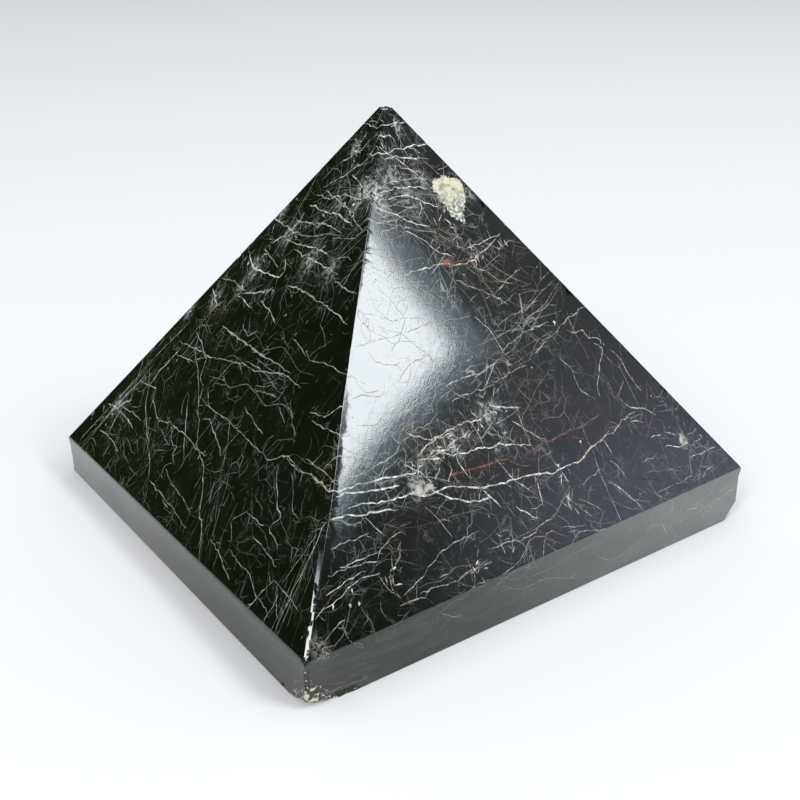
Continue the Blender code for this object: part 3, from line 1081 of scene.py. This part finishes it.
def add_upright_corner(net, corner):
    """The band's upright corner with its facet, carried on over the base's rim."""
    outward = np.sign(CORNERS[corner][:2])
    rings = np.linspace(HALF + RIM_EDGE, NET_HALF - 0.5, 24)
    for cut in (0, CORNER_FACET * 0.5, CORNER_FACET * 0.9):
        for trimmed in (np.array((cut, 0)), np.array((0, cut))):
            net.add_line([(HALF * outward - trimmed * outward) * (ring / HALF) for ring in rings])


def add_edges(net):
    """The rim, the foot, the arrises with their facets, and the band's upright corners."""
    for ring, softness in ((HALF, RIM_EDGE), (FOOT_RING, FOOT_EDGE)):
        for place in (ring - softness, ring, ring + softness):
            net.add_line(square_ring(place, 1.0), closed=True)
    net.add_line(square_ring(NET_HALF, 4.0), closed=True)
    for corner in CORNERS:
        add_arris(net, corner)
        add_upright_corner(net, corner)


def grid_points(low, high, spacing):
    """A grid of places from one corner to the other."""
    steps_x, steps_y = (np.arange(a, b, spacing) for a, b in zip(low, high))
    return np.array(np.meshgrid(steps_x, steps_y)).reshape(2, -1).T


def add_field(net, rng):
    """Points all over, closer near the arrises."""
    for spacing, reach in FIELD:
        steps = np.arange(-HALF, HALF, spacing)
        grid = np.array([(x, y) for x in steps for y in steps])
        grid += np.array([(rng.uniform(-0.3, 0.3), rng.uniform(-0.3, 0.3)) for _ in grid]) * spacing
        x, y = grid.T
        from_diagonal = np.minimum(np.abs(x - y), np.abs(x + y)) / math.sqrt(2)
        net.add_points(grid[from_diagonal < reach])
    for ring in np.arange(HALF + BAND_SPACING, NET_HALF - 1, BAND_SPACING):
        net.add_points(square_ring(ring, 1.5))


def add_break_points(net):
    """Close points wherever a break reaches, closest in the small ones."""
    reach = max(cut["radii"].max() for cut in BREAKS)
    corner = np.full(2, FOOT_RING + reach)
    for spacing, small in ((BREAK_SPACING, False), (SMALL_BREAK_SPACING, True)):
        grid = grid_points(-corner, corner, spacing)
        shift = lattice_noise(np.column_stack((grid, grid[:, 0])), 0.1, 5)
        grid = grid + shift[:, None] * spacing * 0.3
        points = body_points(grid)
        keep = np.zeros(len(grid), bool)
        for cut in BREAKS:
            if (cut["radii"].max() < 1) != small:
                continue
            close = np.linalg.norm(points - cut["middle"], axis=1) < cut["radii"].max() * 1.3
            local = (points[close] - cut["middle"]) @ cut["axes"] / cut["radii"]
            keep[np.flatnonzero(close)[np.linalg.norm(local, axis=1) < 1.18]] = True
        net.add_points(grid[keep])


def add_patch_points(net, outlines):
    """Close points in and around the mineral patches."""
    for outline in outlines:
        low, high = outline.min(0) - PATCH_MARGIN, outline.max(0) + PATCH_MARGIN
        net.add_points(grid_points(low, high, PATCH_SPACING))


def distance_inside(points, outline):
    """How far points lie inside a closed outline, negative outside."""
    nearest = np.full(len(points), FAR)
    inside = np.zeros(len(points), bool)
    for start, end in zip(outline, np.roll(outline, -1, axis=0)):
        edge = end - start
        share = np.clip((points - start) @ edge / (edge @ edge), 0, 1)
        nearest = np.minimum(nearest, np.linalg.norm(points - start - share[:, None] * edge, axis=1))
        crosses = (start[1] > points[:, 1]) != (end[1] > points[:, 1])
        level = edge[0] * (points[:, 1] - start[1]) / (edge[1] if edge[1] else 1e-9) + start[0]
        inside ^= crosses & (points[:, 0] < level)
    return np.where(inside, nearest, -nearest)


def vein_runs(courses):
    """The straight runs of all courses: both ends, and the half width and the tone at each end."""
    runs = []
    for course in courses:
        points, half, tone = course["points"], course["half"], course["tone"]
        for k in range(len(points) - 1):
            runs.append((*points[k], *points[k + 1], half[k], half[k + 1], tone[k], tone[k + 1]))
    return runs


def vein_tones(points, courses, reach=0.75):
    """The tone of the strongest vein that each point lies in, or nothing."""
    runs = vein_runs(courses)
    tree = KDTree(len(runs))
    for k, (ax, ay, bx, by, *_) in enumerate(runs):
        tree.insert(((ax + bx) / 2, (ay + by) / 2, 0), k)
    tree.balance()
    tones = np.zeros(len(points))
    for n, (x, y) in enumerate(points.tolist()):
        for _, k, _ in tree.find_range((x, y, 0), reach):
            ax, ay, bx, by, half_a, half_b, tone_a, tone_b = runs[k]
            ex, ey = bx - ax, by - ay
            share = min(1, max(0, ((x - ax) * ex + (y - ay) * ey) / (ex * ex + ey * ey + 1e-12)))
            half = half_a + (half_b - half_a) * share
            if math.hypot(x - ax - share * ex, y - ay - share * ey) < half:
                tones[n] = max(tones[n], tone_a + (tone_b - tone_a) * share)
    return tones


def cloud_field(points):
    """How milky each place is, from 0 to 1."""
    field = np.zeros(len(points))
    for x, y, radius, strength in CLOUDS:
        far = np.linalg.norm(points - net_place(x, y), axis=1) / radius
        field = np.maximum(field, strength * np.exp(-CLOUD_FALL * far ** 2))
    return field


def crowd_field(points, crowds):
    """How crowded with hairlines each place is, from 0 to 1."""
    field = np.zeros(len(points))
    for middle, radius, count in crowds:
        far = np.linalg.norm(points - middle, axis=1) / radius
        field += count / 50 * np.exp(-far ** 2)
    return 1 - np.exp(-1.4 * field)


def fill_net(courses, patches, rng):
    """The net's places and triangles, with every course outlined."""
    net = Net()
    add_edges(net)
    add_field(net, rng)
    add_break_points(net)
    add_patch_points(net, patches)
    for course in courses:
        add_ribbon(net, course)
    corners = [Vector(point) for point in net.points]
    flat, _, triangles, *_ = delaunay_2d_cdt(corners, net.edges, [], 0, SAME_POINT, False)
    return np.array([(place.x, place.y) for place in flat]), triangles


def base_ring(places):
    """The net's outermost places in order, which close the base."""
    ring = [k for k, place in enumerate(places) if np.abs(place).max() > NET_HALF - 1e-6]
    return sorted(ring, key=lambda k: -math.atan2(places[k][1], places[k][0]))


def add_values(mesh, domain, values_by_name):
    for name, values in values_by_name.items():
        mesh.attributes.new(name, "FLOAT", domain).data.foreach_set("value", values.astype(np.float32))


def place_values(places, crowds, patches, broken, pale):
    """What the material reads at each place of the net."""
    inside = {name: distance_inside(places, outline) for name, outline in patches.items()}
    return {
        "crowd": crowd_field(places, crowds),
        "broken": broken,
        "pale": pale,
        "rust": smooth_step(-0.1, 0.25, inside["rust"]),
        "cream": np.clip(inside["cream"], -1, 1),
        "grey": np.clip(np.maximum(inside["grey"], inside["corner"]), -1, 1),
        "milky": cloud_field(places),
        "band": smooth_step(HALF - 0.05, HALF + 0.05, np.abs(places).max(axis=1)),
    }


def make_stone():
    """The stone's one mesh; its veins are strips of the faces and no relief."""
    rng = random.Random(SEED)
    pale_veins, crowds = pale_courses(rng)
    rust_veins = plain_veins(RUST_VEINS, RUST_HALF, RUST_TONE, rng)
    dark_cracks = plain_veins(DARK_CRACKS, CRACK_HALF, CRACK_TONE, rng)
    patches = {name: net_line(outline) for name, outline in PATCHES.items()}
    places, triangles = fill_net(pale_veins + rust_veins + dark_cracks, patches.values(), rng)
    points, broken, pale = surface(places)
    base = base_ring(places)
    mesh = bpy.data.meshes.new("pyramid_stone")
    mesh.from_pydata((points * MM).tolist(), [], [tuple(face) for face in triangles] + [tuple(base)])
    mesh.shade_smooth()
    middles = places[np.array(triangles)].mean(axis=1)
    drawn = {"vein": pale_veins, "rust_vein": rust_veins, "dark_crack": dark_cracks}
    tones = {name: np.append(vein_tones(middles, courses), 0) for name, courses in drawn.items()}
    add_values(mesh, "FACE", tones)
    add_values(mesh, "POINT", place_values(places, crowds, patches, broken, pale))
    normals = surface_normals(places)
    normals[np.array(base)] = (0, 0, -1)
    mesh.normals_split_custom_set_from_vertices(normals.tolist())
    mesh.materials.append(stone_material())
    stone = bpy.data.objects.new("pyramid_stone", mesh)
    bpy.context.scene.collection.objects.link(stone)
    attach(stone, "root")
    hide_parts("pyramid")


# Material

# Colours of the stone and of what shows in it
STONE_GREEN = (0.0015, 0.0022, 0.0014, 1)
STONE_GREY = (0.0026, 0.003, 0.003, 1)
HAZE = (0.045, 0.047, 0.043, 1)
GROUND_DARK = (0.010, 0.012, 0.009, 1)
GROUND_PALE = (0.024, 0.027, 0.021, 1)
# The band's dull film colour; spread paler towards the far corners, it paints the brighter grazing reflection
# there.
FILM_AND_SHEEN = (0.13, 0.137, 0.13, 1)
VEIN_BLUISH = (0.80, 0.84, 0.80, 1)
VEIN_BROWNISH = (0.66, 0.60, 0.46, 1)
RUST = (0.27, 0.10, 0.06, 1)
CREAM_LOW_DARK = (0.10, 0.11, 0.10, 1)
CREAM_LOW_PALE = (0.62, 0.64, 0.60, 1)
CREAM_TOP_DARK = (0.22, 0.21, 0.15, 1)
CREAM_TOP_PALE = (0.64, 0.61, 0.44, 1)
GREY_DARK = (0.05, 0.05, 0.04, 1)
GREY_PALE = (0.45, 0.45, 0.38, 1)
MILKY = (0.58, 0.60, 0.57, 1)
BREAK_DARK = (0.030, 0.031, 0.026, 1)
CRUMB_BROWN = (0.34, 0.32, 0.22, 1)
CRUMB_PALE = (0.72, 0.70, 0.58, 1)
CRACK_BLACK = (0.004, 0.004, 0.004, 1)
REFRACTION = 1.64
MM_PER_METRE = (1000.0, 1000.0, 1000.0)
# How deep the polish's bumps are, in metres, and how strong
BUMP_DEPTH = 0.00002
BUMP_STRENGTH = 0.2


class Shader:
    """Short names for adding and joining a material's nodes."""

    def __init__(self, tree):
        self.tree = tree

    def node(self, kind, values=None, **settings):
        made = self.tree.nodes.new(kind)
        for name, value in settings.items():
            setattr(made, name, value)
        for name, value in (values or {}).items():
            self.feed(made.inputs[name], value)
        return made

    def feed(self, socket, value):
        if isinstance(value, bpy.types.NodeSocket):
            self.tree.links.new(value, socket)
        else:
            socket.default_value = value

    def math(self, operation, *values, clamp=False):
        made = self.node("ShaderNodeMath", dict(enumerate(values)), operation=operation, use_clamp=clamp)
        return made.outputs[0]

    def plus(self, first, second, clamp=False):
        return self.math("ADD", first, second, clamp=clamp)

    def minus(self, first, second):
        return self.math("SUBTRACT", first, second)

    def times(self, first, second):
        return self.math("MULTIPLY", first, second)

    def most(self, first, second):
        return self.math("MAXIMUM", first, second)

    def scaled(self, vector, factor):
        return self.node("ShaderNodeVectorMath", {0: vector, 1: factor}, operation="MULTIPLY").outputs[0]

    def moved(self, vector, offset):
        return self.node("ShaderNodeVectorMath", {0: vector, 1: offset}, operation="ADD").outputs[0]

    def noise(self, vector, scale, detail=3.0, output="Fac"):
        made = self.node("ShaderNodeTexNoise", {"Vector": vector, "Scale": scale, "Detail": detail})
        return made.outputs[output]

    def drift(self, vector, scale, detail, reach):
        """A noise that moves a vector about, up to a reach."""
        return self.scaled(self.noise(vector, scale, detail, "Color"), (reach, reach, reach))

    def step(self, value, low, high, start=0.0, end=1.0):
        values = {"Value": value, "From Min": low, "From Max": high, "To Min": start, "To Max": end}
        return self.node("ShaderNodeMapRange", values, interpolation_type="SMOOTHSTEP").outputs[0]

    def mix(self, share, first, second):
        return self.node("ShaderNodeMix", {0: share, 6: first, 7: second}, data_type="RGBA").outputs[2]

    def field(self, name):
        return self.node("ShaderNodeAttribute", attribute_name=name).outputs["Fac"]

    def axis(self, vector, name):
        return self.node("ShaderNodeSeparateXYZ", {0: vector}).outputs[name]


def contour_hairlines(sh, place, scale, width, detail=2.0):
    """Thin curves where a noise crosses its middle value: faint, endless hairlines."""
    level = sh.minus(sh.noise(place, scale, detail), 0.5)
    return sh.step(sh.math("ABSOLUTE", level), 0.0, width, 1.0, 0.0)


def crack_hairlines(sh, place, scale, width):
    """Thin straight-sided cells, like healed cracks."""
    cells = sh.node("ShaderNodeTexVoronoi", {"Vector": place, "Scale": scale}, feature="DISTANCE_TO_EDGE")
    return sh.step(cells.outputs["Distance"], 0.0, width, 1.0, 0.0)


def hatch_angle():
    start, end = (net_place(*pixel) for pixel in HATCH_PIXELS)
    return -math.atan2(end[1] - start[1], end[0] - start[0])


HATCH_ANGLE = hatch_angle()


def faint_hairlines(sh, place, crowd):
    """The faintest hairlines: long ones, and finer ones where the drawn veins crowd."""
    arched = sh.moved(place, sh.drift(place, 0.16, 1.0, 5.0))
    arched = sh.moved(arched, sh.drift(place, 1.4, 2.0, 0.3))
    streaked = sh.scaled(arched, (0.45, 0.45, 1.25))
    curves = contour_hairlines(sh, streaked, 0.30, 0.004, 1.0)
    long = sh.most(curves, crack_hairlines(sh, arched, 0.24, 0.016))
    patchy = sh.step(sh.noise(place, 0.22, 3.0), 0.46, 0.66)
    long = sh.times(sh.times(long, patchy), sh.step(crowd, 0.05, 0.85, 0.02, 0.34))
    fine = sh.most(crack_hairlines(sh, arched, 0.65, 0.026), crack_hairlines(sh, streaked, 1.1, 0.030))
    fine = sh.times(fine, sh.step(sh.noise(place, 0.5, 3.0), 0.50, 0.68))
    return sh.most(long, sh.times(fine, sh.step(crowd, 0.2, 1.0, 0.0, 0.22)))


def vein_strength(sh, place, crowd, band):
    """The drawn veins together with the faintest hairlines, from 0 to 1."""
    faint = faint_hairlines(sh, place, crowd)
    uneven = sh.step(sh.noise(place, 2.2, 4.0), 0.36, 0.60, 0.30, 1.0)
    veins = sh.most(sh.times(sh.field("vein"), uneven), faint)
    return sh.times(veins, sh.step(band, 0, 1, 1.0, 0.55))


def band_film_and_sheen(sh, place, band):
    """The band's dull grinding film, a little uneven; painted paler away from the front corner for the
    brighter reflection there.
    """
    farther = sh.most(sh.axis(place, "X"), sh.axis(place, "Y"))
    # Paler away from the front corner: painted reflection of the brighter grazing sheen at the far corners.
    sheen_by_distance = sh.step(farther, -HALF * 0.6, HALF * 0.9)
    uneven = sh.step(sh.noise(sh.scaled(place, (1.0, 1.0, 2.2)), 0.12, 5.0), 0.3, 0.7, 0.75, 1.0)
    return sh.times(sh.times(sheen_by_distance, uneven), band)


def bare_stone(sh, place, bent, crowd, band, film_and_sheen):
    """Near black, hazy where hairlines crowd; the band is streaky under its film, painted paler far out as
    reflection.
    """
    haze = sh.times(sh.step(sh.noise(place, 0.35, 4.0), 0.3, 0.75), crowd)
    stone = sh.mix(sh.noise(place, 0.06, 2.0), STONE_GREEN, STONE_GREY)
    stone = sh.mix(sh.times(haze, 0.12), stone, HAZE)
    streak = sh.noise(sh.scaled(bent, (0.25, 0.25, 1.6)), 0.6, 5.0)
    ground = sh.mix(sh.step(streak, 0.35, 0.65), GROUND_DARK, GROUND_PALE)
    return sh.mix(film_and_sheen, sh.mix(band, stone, ground), FILM_AND_SHEEN)


def add_veins(sh, place, veins, colour):
    """Bluish veins, brownish in places, and the rusty ones over them."""
    pale = sh.mix(sh.step(sh.noise(place, 0.16, 3.0), 0.42, 0.66), VEIN_BLUISH, VEIN_BROWNISH)
    uneven = sh.step(sh.noise(place, 1.3, 4.0), 0.35, 0.6, 0.15, 0.8)
    rust = sh.times(sh.most(sh.field("rust"), sh.field("rust_vein")), uneven)
    return sh.mix(rust, sh.mix(veins, colour, pale), RUST)


def patch_share(sh, name, ragged):
    """A mineral patch's share, with a ragged outline."""
    return sh.step(sh.plus(sh.field(name), ragged), -0.06, 0.16)


def cream_colour(sh, place, mottle):
    """The cream patch: yellowish at its upper end and grainy grey at its lower one."""
    low_end, top_end = (body_points(net_place(*pixel)[None])[0, 2] for pixel in CREAM_ENDS)
    height = sh.plus(sh.axis(place, "Z"), sh.times(mottle, 2.0))
    grain = sh.step(sh.noise(place, 2.4, 5.0), 0.40, 0.62)
    lower = sh.mix(grain, CREAM_LOW_DARK, CREAM_LOW_PALE)
    upper = sh.mix(sh.step(mottle, 0.30, 0.55), CREAM_TOP_DARK, CREAM_TOP_PALE)
    return sh.mix(sh.step(height, low_end + 1.0, top_end + 1.0), lower, upper)


def add_minerals(sh, place, bent, mottle, cream, grey, colour):
    """The cream and grey patches, and the milky clouds."""
    colour = sh.mix(cream, colour, cream_colour(sh, place, mottle))
    grey_colour = sh.mix(sh.step(mottle, 0.35, 0.65), GREY_DARK, GREY_PALE)
    colour = sh.mix(sh.times(grey, 0.9), colour, grey_colour)
    wisps = sh.step(sh.noise(bent, 1.6, 6.0), 0.44, 0.60, 0.05, 0.85)
    return sh.mix(sh.times(sh.field("milky"), wisps), colour, MILKY)


def add_breaks(sh, place, mottle, broken, crack, colour):
    """The dull breaks with their pale crumbs, and the dark cracks."""
    colour = sh.mix(sh.times(broken, 0.6), colour, BREAK_DARK)
    pale = sh.field("pale")
    grain = sh.plus(sh.noise(place, 1.7, 5.0), sh.times(pale, 0.22))
    crumb = sh.times(sh.step(grain, 0.60, 0.70), sh.step(pale, 0.0, 0.3))
    colour = sh.mix(crumb, colour, sh.mix(mottle, CRUMB_BROWN, CRUMB_PALE))
    return sh.mix(crack, colour, CRACK_BLACK)


def scratched(sh, bent):
    """Fine polishing scratches: most run one way over the face, some across."""
    values = {"Vector": bent, "Angle": HATCH_ANGLE}
    turned = sh.node("ShaderNodeVectorRotate", values, rotation_type="Z_AXIS").outputs[0]
    along = sh.noise(sh.scaled(turned, (0.35, 9.0, 0.0)), 1.0, 2.0)
    across = sh.noise(sh.scaled(turned, (5.0, 0.6, 0.0)), 1.0, 2.0)
    return sh.plus(sh.times(along, 0.66), sh.times(across, 0.10))


def polish_roughness(sh, place, band, dulled):
    """Mirror polish with faint smears, duller on the band and on what isn't polished."""
    smears = sh.times(sh.noise(sh.scaled(place, (0.5, 0.5, 0.12)), 0.7, 4.0), 0.03)
    polish = sh.plus(sh.step(band, 0, 1, 0.05, 0.16), smears)
    return sh.plus(polish, sh.times(dulled, 0.42), clamp=True)


def polish_bumps(sh, place, bent, veins, broken):
    """Scratches in the polish, slightly sunken veins and rough breaks."""
    relief = sh.minus(scratched(sh, bent), sh.times(veins, 0.6))
    relief = sh.plus(relief, sh.times(sh.noise(place, 4.0, 5.0), sh.times(broken, 5.0)))
    values = {"Height": relief, "Strength": BUMP_STRENGTH, "Distance": BUMP_DEPTH}
    return sh.node("ShaderNodeBump", values).outputs[0]


def stone_material():
    mat = bpy.data.materials.new("polished_tourmaline")
    mat.use_nodes = True
    sh = Shader(mat.node_tree)
    place = sh.scaled(sh.node("ShaderNodeTexCoord").outputs["Object"], MM_PER_METRE)
    bent = sh.moved(place, sh.drift(place, 0.8, 3.0, 1.2))
    mottle = sh.noise(place, 1.1, 5.0)
    crowd, band, broken, crack = (sh.field(name) for name in ("crowd", "band", "broken", "dark_crack"))
    veins = vein_strength(sh, place, crowd, band)
    # The band's dull film, painted paler towards the far corners to stand in for their brighter reflection.
    film_and_sheen = band_film_and_sheen(sh, place, band)
    ragged = sh.times(sh.minus(sh.noise(place, 1.3, 5.0), 0.5), 1.6)
    cream, grey = patch_share(sh, "cream", ragged), patch_share(sh, "grey", ragged)

    colour = bare_stone(sh, place, bent, crowd, band, film_and_sheen)
    colour = add_veins(sh, place, veins, colour)
    colour = add_minerals(sh, place, bent, mottle, cream, grey, colour)
    colour = add_breaks(sh, place, mottle, broken, crack, colour)
    dulled = sh.most(sh.most(veins, broken), sh.most(cream, grey))
    dulled = sh.most(dulled, sh.times(crack, 0.15))
    gloss = sh.plus(sh.step(dulled, 0.0, 0.30, 0.5, 0.12), sh.times(film_and_sheen, 0.3))

    shader = mat.node_tree.nodes["Principled BSDF"]
    sh.feed(shader.inputs["Base Color"], colour)
    sh.feed(shader.inputs["Roughness"], polish_roughness(sh, place, band, dulled))
    sh.feed(shader.inputs["Normal"], polish_bumps(sh, place, bent, veins, broken))
    sh.feed(shader.inputs["Specular IOR Level"], gloss)
    shader.inputs["IOR"].default_value = REFRACTION
    return mat


# Stage

# Pixel where the window's lower near corner shows in the right face; the window's distance and size in mm
HIGHLIGHT_TIP = (449, 348)
WINDOW_DISTANCE = 1200.0
WINDOW_SIZE = (430.0, 530.0)
WINDOW_TURN = 4.0
WINDOW_GLOW = 13.0
WINDOW_COLOUR = (0.95, 0.98, 1.0)
# The window's bluish surround: how far it stands out in mm, and its glow
SURROUND = 48.0
SURROUND_GLOW = 1.7
SURROUND_COLOUR = (0.62, 0.82, 1.0)
# The soft panel behind the camera that the foot of the front arris mirrors: bearing and heights in degrees
PANEL_BEARING = -115.4
PANEL_HEIGHTS = (30.0, 52.8)
PANEL_DISTANCE = 1100.0
PANEL_WIDTH = 160.0
PANEL_GLOW = 15.0
PANEL_COLOUR = (1, 1, 1)
# The dim bluish strip above the panel, which the facet mirrors farther up the arris
STRIP_HEIGHTS = (52.8, 54.9)
STRIP_GLOW = 7.5
STRIP_COLOUR = (0.78, 0.86, 1.0)
# What the right face mirrors: a broad dim card and a violet one low in it, each by its bearing and height
# and by the angles from its middle at which it fades out and is full, in degrees
BROAD_CARD = ((131.5, 34.0), (22.0, 6.0))
VIOLET_CARD = ((134.5, 17.0), (18.5, 3.5))
CARD_FADE = 2.0
# Colours of the mirrored room and its cards, of the soft light, and of the backdrop
ROOM_COLOUR = (0.028, 0.064, 0.010, 1)
BROAD_CARD_COLOUR = (0.41, 0.42, 0.43, 1)
VIOLET_CARD_COLOUR = (1.12, 1.15, 1.48, 1)
SOFT_LIGHT = (0.76, 0.77, 0.79, 1)
BACKDROP = (0.95, 0.95, 0.96, 1)
# The floor: half its side and how far it lies below the base, in metres, and its looks
FLOOR_HALF = 12.0
FLOOR_GAP = 0.00002
FLOOR_COLOUR = (0.86, 0.86, 0.87, 1)
FLOOR_ROUGHNESS = 0.7
FLOOR_SPECULAR = 0.2


def bearing(degrees, height):
    """The direction at a bearing from +Y towards +X and a height above level, in degrees."""
    turn, lift = math.radians(degrees), math.radians(height)
    return np.array((math.sin(turn) * math.cos(lift), math.cos(turn) * math.cos(lift), math.sin(lift)))


def add_area_light(name, corner, along, upward, radiance, colour):
    """A rectangle that glows towards the stone, from one corner and its two edges, in millimetres."""
    width, height = np.linalg.norm(along), np.linalg.norm(upward)
    data = bpy.data.lights.new(name, "AREA")
    data.shape = "RECTANGLE"
    data.size, data.size_y = width * MM, height * MM
    data.energy = radiance * math.pi * data.size * data.size_y
    data.color = colour
    light = bpy.data.objects.new(name, data)
    bpy.context.scene.collection.objects.link(light)
    axis_x, axis_y = along / width, upward / height
    middle = corner + (along + upward) / 2
    facing = np.cross(axis_x, axis_y)
    if facing @ (middle - POINT) < 0:
        axis_x, facing = -axis_x, -facing
    turn = Matrix(np.column_stack((axis_x, axis_y, facing)).tolist()).to_4x4()
    light.matrix_world = Matrix.Translation(Vector(middle * MM)) @ turn


def mirrored(x, y, plane):
    """The point of a face at a pixel, and the direction in which it mirrors the camera's sight."""
    normal = np.array((-plane[0], -plane[1], 1.0))
    normal /= np.linalg.norm(normal)
    ray = sight(x, y)
    spot = EYE + ray * ((POINT - EYE) @ normal / (ray @ normal))
    return spot, ray - 2 * (ray @ normal) * normal


def add_window():
    """The bright window whose lower near corner shows as the highlight's point in the right face."""
    spot, direction = mirrored(*HIGHLIGHT_TIP, FACES[0])
    facing = math.atan2(direction[0], direction[1]) + math.radians(WINDOW_TURN)
    along = WINDOW_SIZE[0] * np.array((math.cos(facing), -math.sin(facing), 0.0))
    along = along if along @ RIGHT < 0 else -along
    upward = np.array((0, 0, WINDOW_SIZE[1]))
    corner = spot + direction * WINDOW_DISTANCE
    add_area_light("window", corner, along, upward, WINDOW_GLOW, WINDOW_COLOUR)
    margin_x, margin_y = (SURROUND / size for size in WINDOW_SIZE)
    behind = corner + direction * SURROUND / 2 - margin_x * along - margin_y * upward
    wider, taller = along * (1 + 2 * margin_x), upward * (1 + 2 * margin_y)
    add_area_light("window_surround", behind, wider, taller, SURROUND_GLOW, SURROUND_COLOUR)


def add_panel(name, heights, glow, colour):
    """A soft panel behind the camera for the facet of the front arris."""
    middle = on_arris("front", 6)
    low, high = (middle + PANEL_DISTANCE * bearing(PANEL_BEARING, height) for height in heights)
    along = np.cross(bearing(PANEL_BEARING, 0), (0, 0, 1)) * PANEL_WIDTH
    add_area_light(name, low - along / 2, along, high - low, glow, colour)


def make_lights():
    add_window()
    add_panel("panel", PANEL_HEIGHTS, PANEL_GLOW, PANEL_COLOUR)
    add_panel("panel_strip", STRIP_HEIGHTS, STRIP_GLOW, STRIP_COLOUR)


def make_floor():
    mesh = bpy.data.meshes.new("floor")
    corners = [(-FLOOR_HALF, -FLOOR_HALF, 0), (FLOOR_HALF, -FLOOR_HALF, 0),
               (FLOOR_HALF, FLOOR_HALF, 0), (-FLOOR_HALF, FLOOR_HALF, 0)]
    mesh.from_pydata(corners, [], [(0, 1, 2, 3)])
    floor = bpy.data.objects.new("floor", mesh)
    bpy.context.scene.collection.objects.link(floor)
    floor.location.z = -FLOOR_GAP
    mat = bpy.data.materials.new("pale_floor")
    mat.use_nodes = True
    shader = mat.node_tree.nodes["Principled BSDF"]
    shader.inputs["Base Color"].default_value = FLOOR_COLOUR
    shader.inputs["Roughness"].default_value = FLOOR_ROUGHNESS
    shader.inputs["Specular IOR Level"].default_value = FLOOR_SPECULAR
    mesh.materials.append(mat)


def card_share(sh, place, fall):
    """How much of a soft card stands in a direction, from 0 to 1."""
    sides = {0: sh.node("ShaderNodeTexCoord").outputs["Generated"], 1: tuple(bearing(*place))}
    nearness = sh.node("ShaderNodeVectorMath", sides, operation="DOT_PRODUCT").outputs["Value"]
    edge, full = (math.cos(math.radians(angle)) for angle in fall)
    values = {"Value": nearness, "From Min": edge, "From Max": full}
    return sh.math("POWER", sh.node("ShaderNodeMapRange", values).outputs[0], CARD_FADE)


def make_world():
    """Pale for the eye and for soft light; the polish mirrors a dim green room with soft cards."""
    world = bpy.data.worlds.new("studio")
    bpy.context.scene.world = world
    world.use_nodes = True
    world.node_tree.nodes.clear()
    sh = Shader(world.node_tree)
    room = sh.mix(card_share(sh, *BROAD_CARD), ROOM_COLOUR, BROAD_CARD_COLOUR)
    room = sh.mix(card_share(sh, *VIOLET_CARD), room, VIOLET_CARD_COLOUR)
    rays = sh.node("ShaderNodeLightPath").outputs
    soft = sh.mix(rays["Is Camera Ray"], SOFT_LIGHT, BACKDROP)
    colour = sh.mix(rays["Is Glossy Ray"], soft, room)
    back = sh.node("ShaderNodeBackground", {"Color": colour, "Strength": 1.0})
    out = sh.node("ShaderNodeOutputWorld")
    world.node_tree.links.new(back.outputs[0], out.inputs[0])


def main():
    make_camera()
    make_stone()
    make_floor()
    make_lights()
    make_world()
    bpy.context.scene.view_settings.view_transform = "Standard"


main()
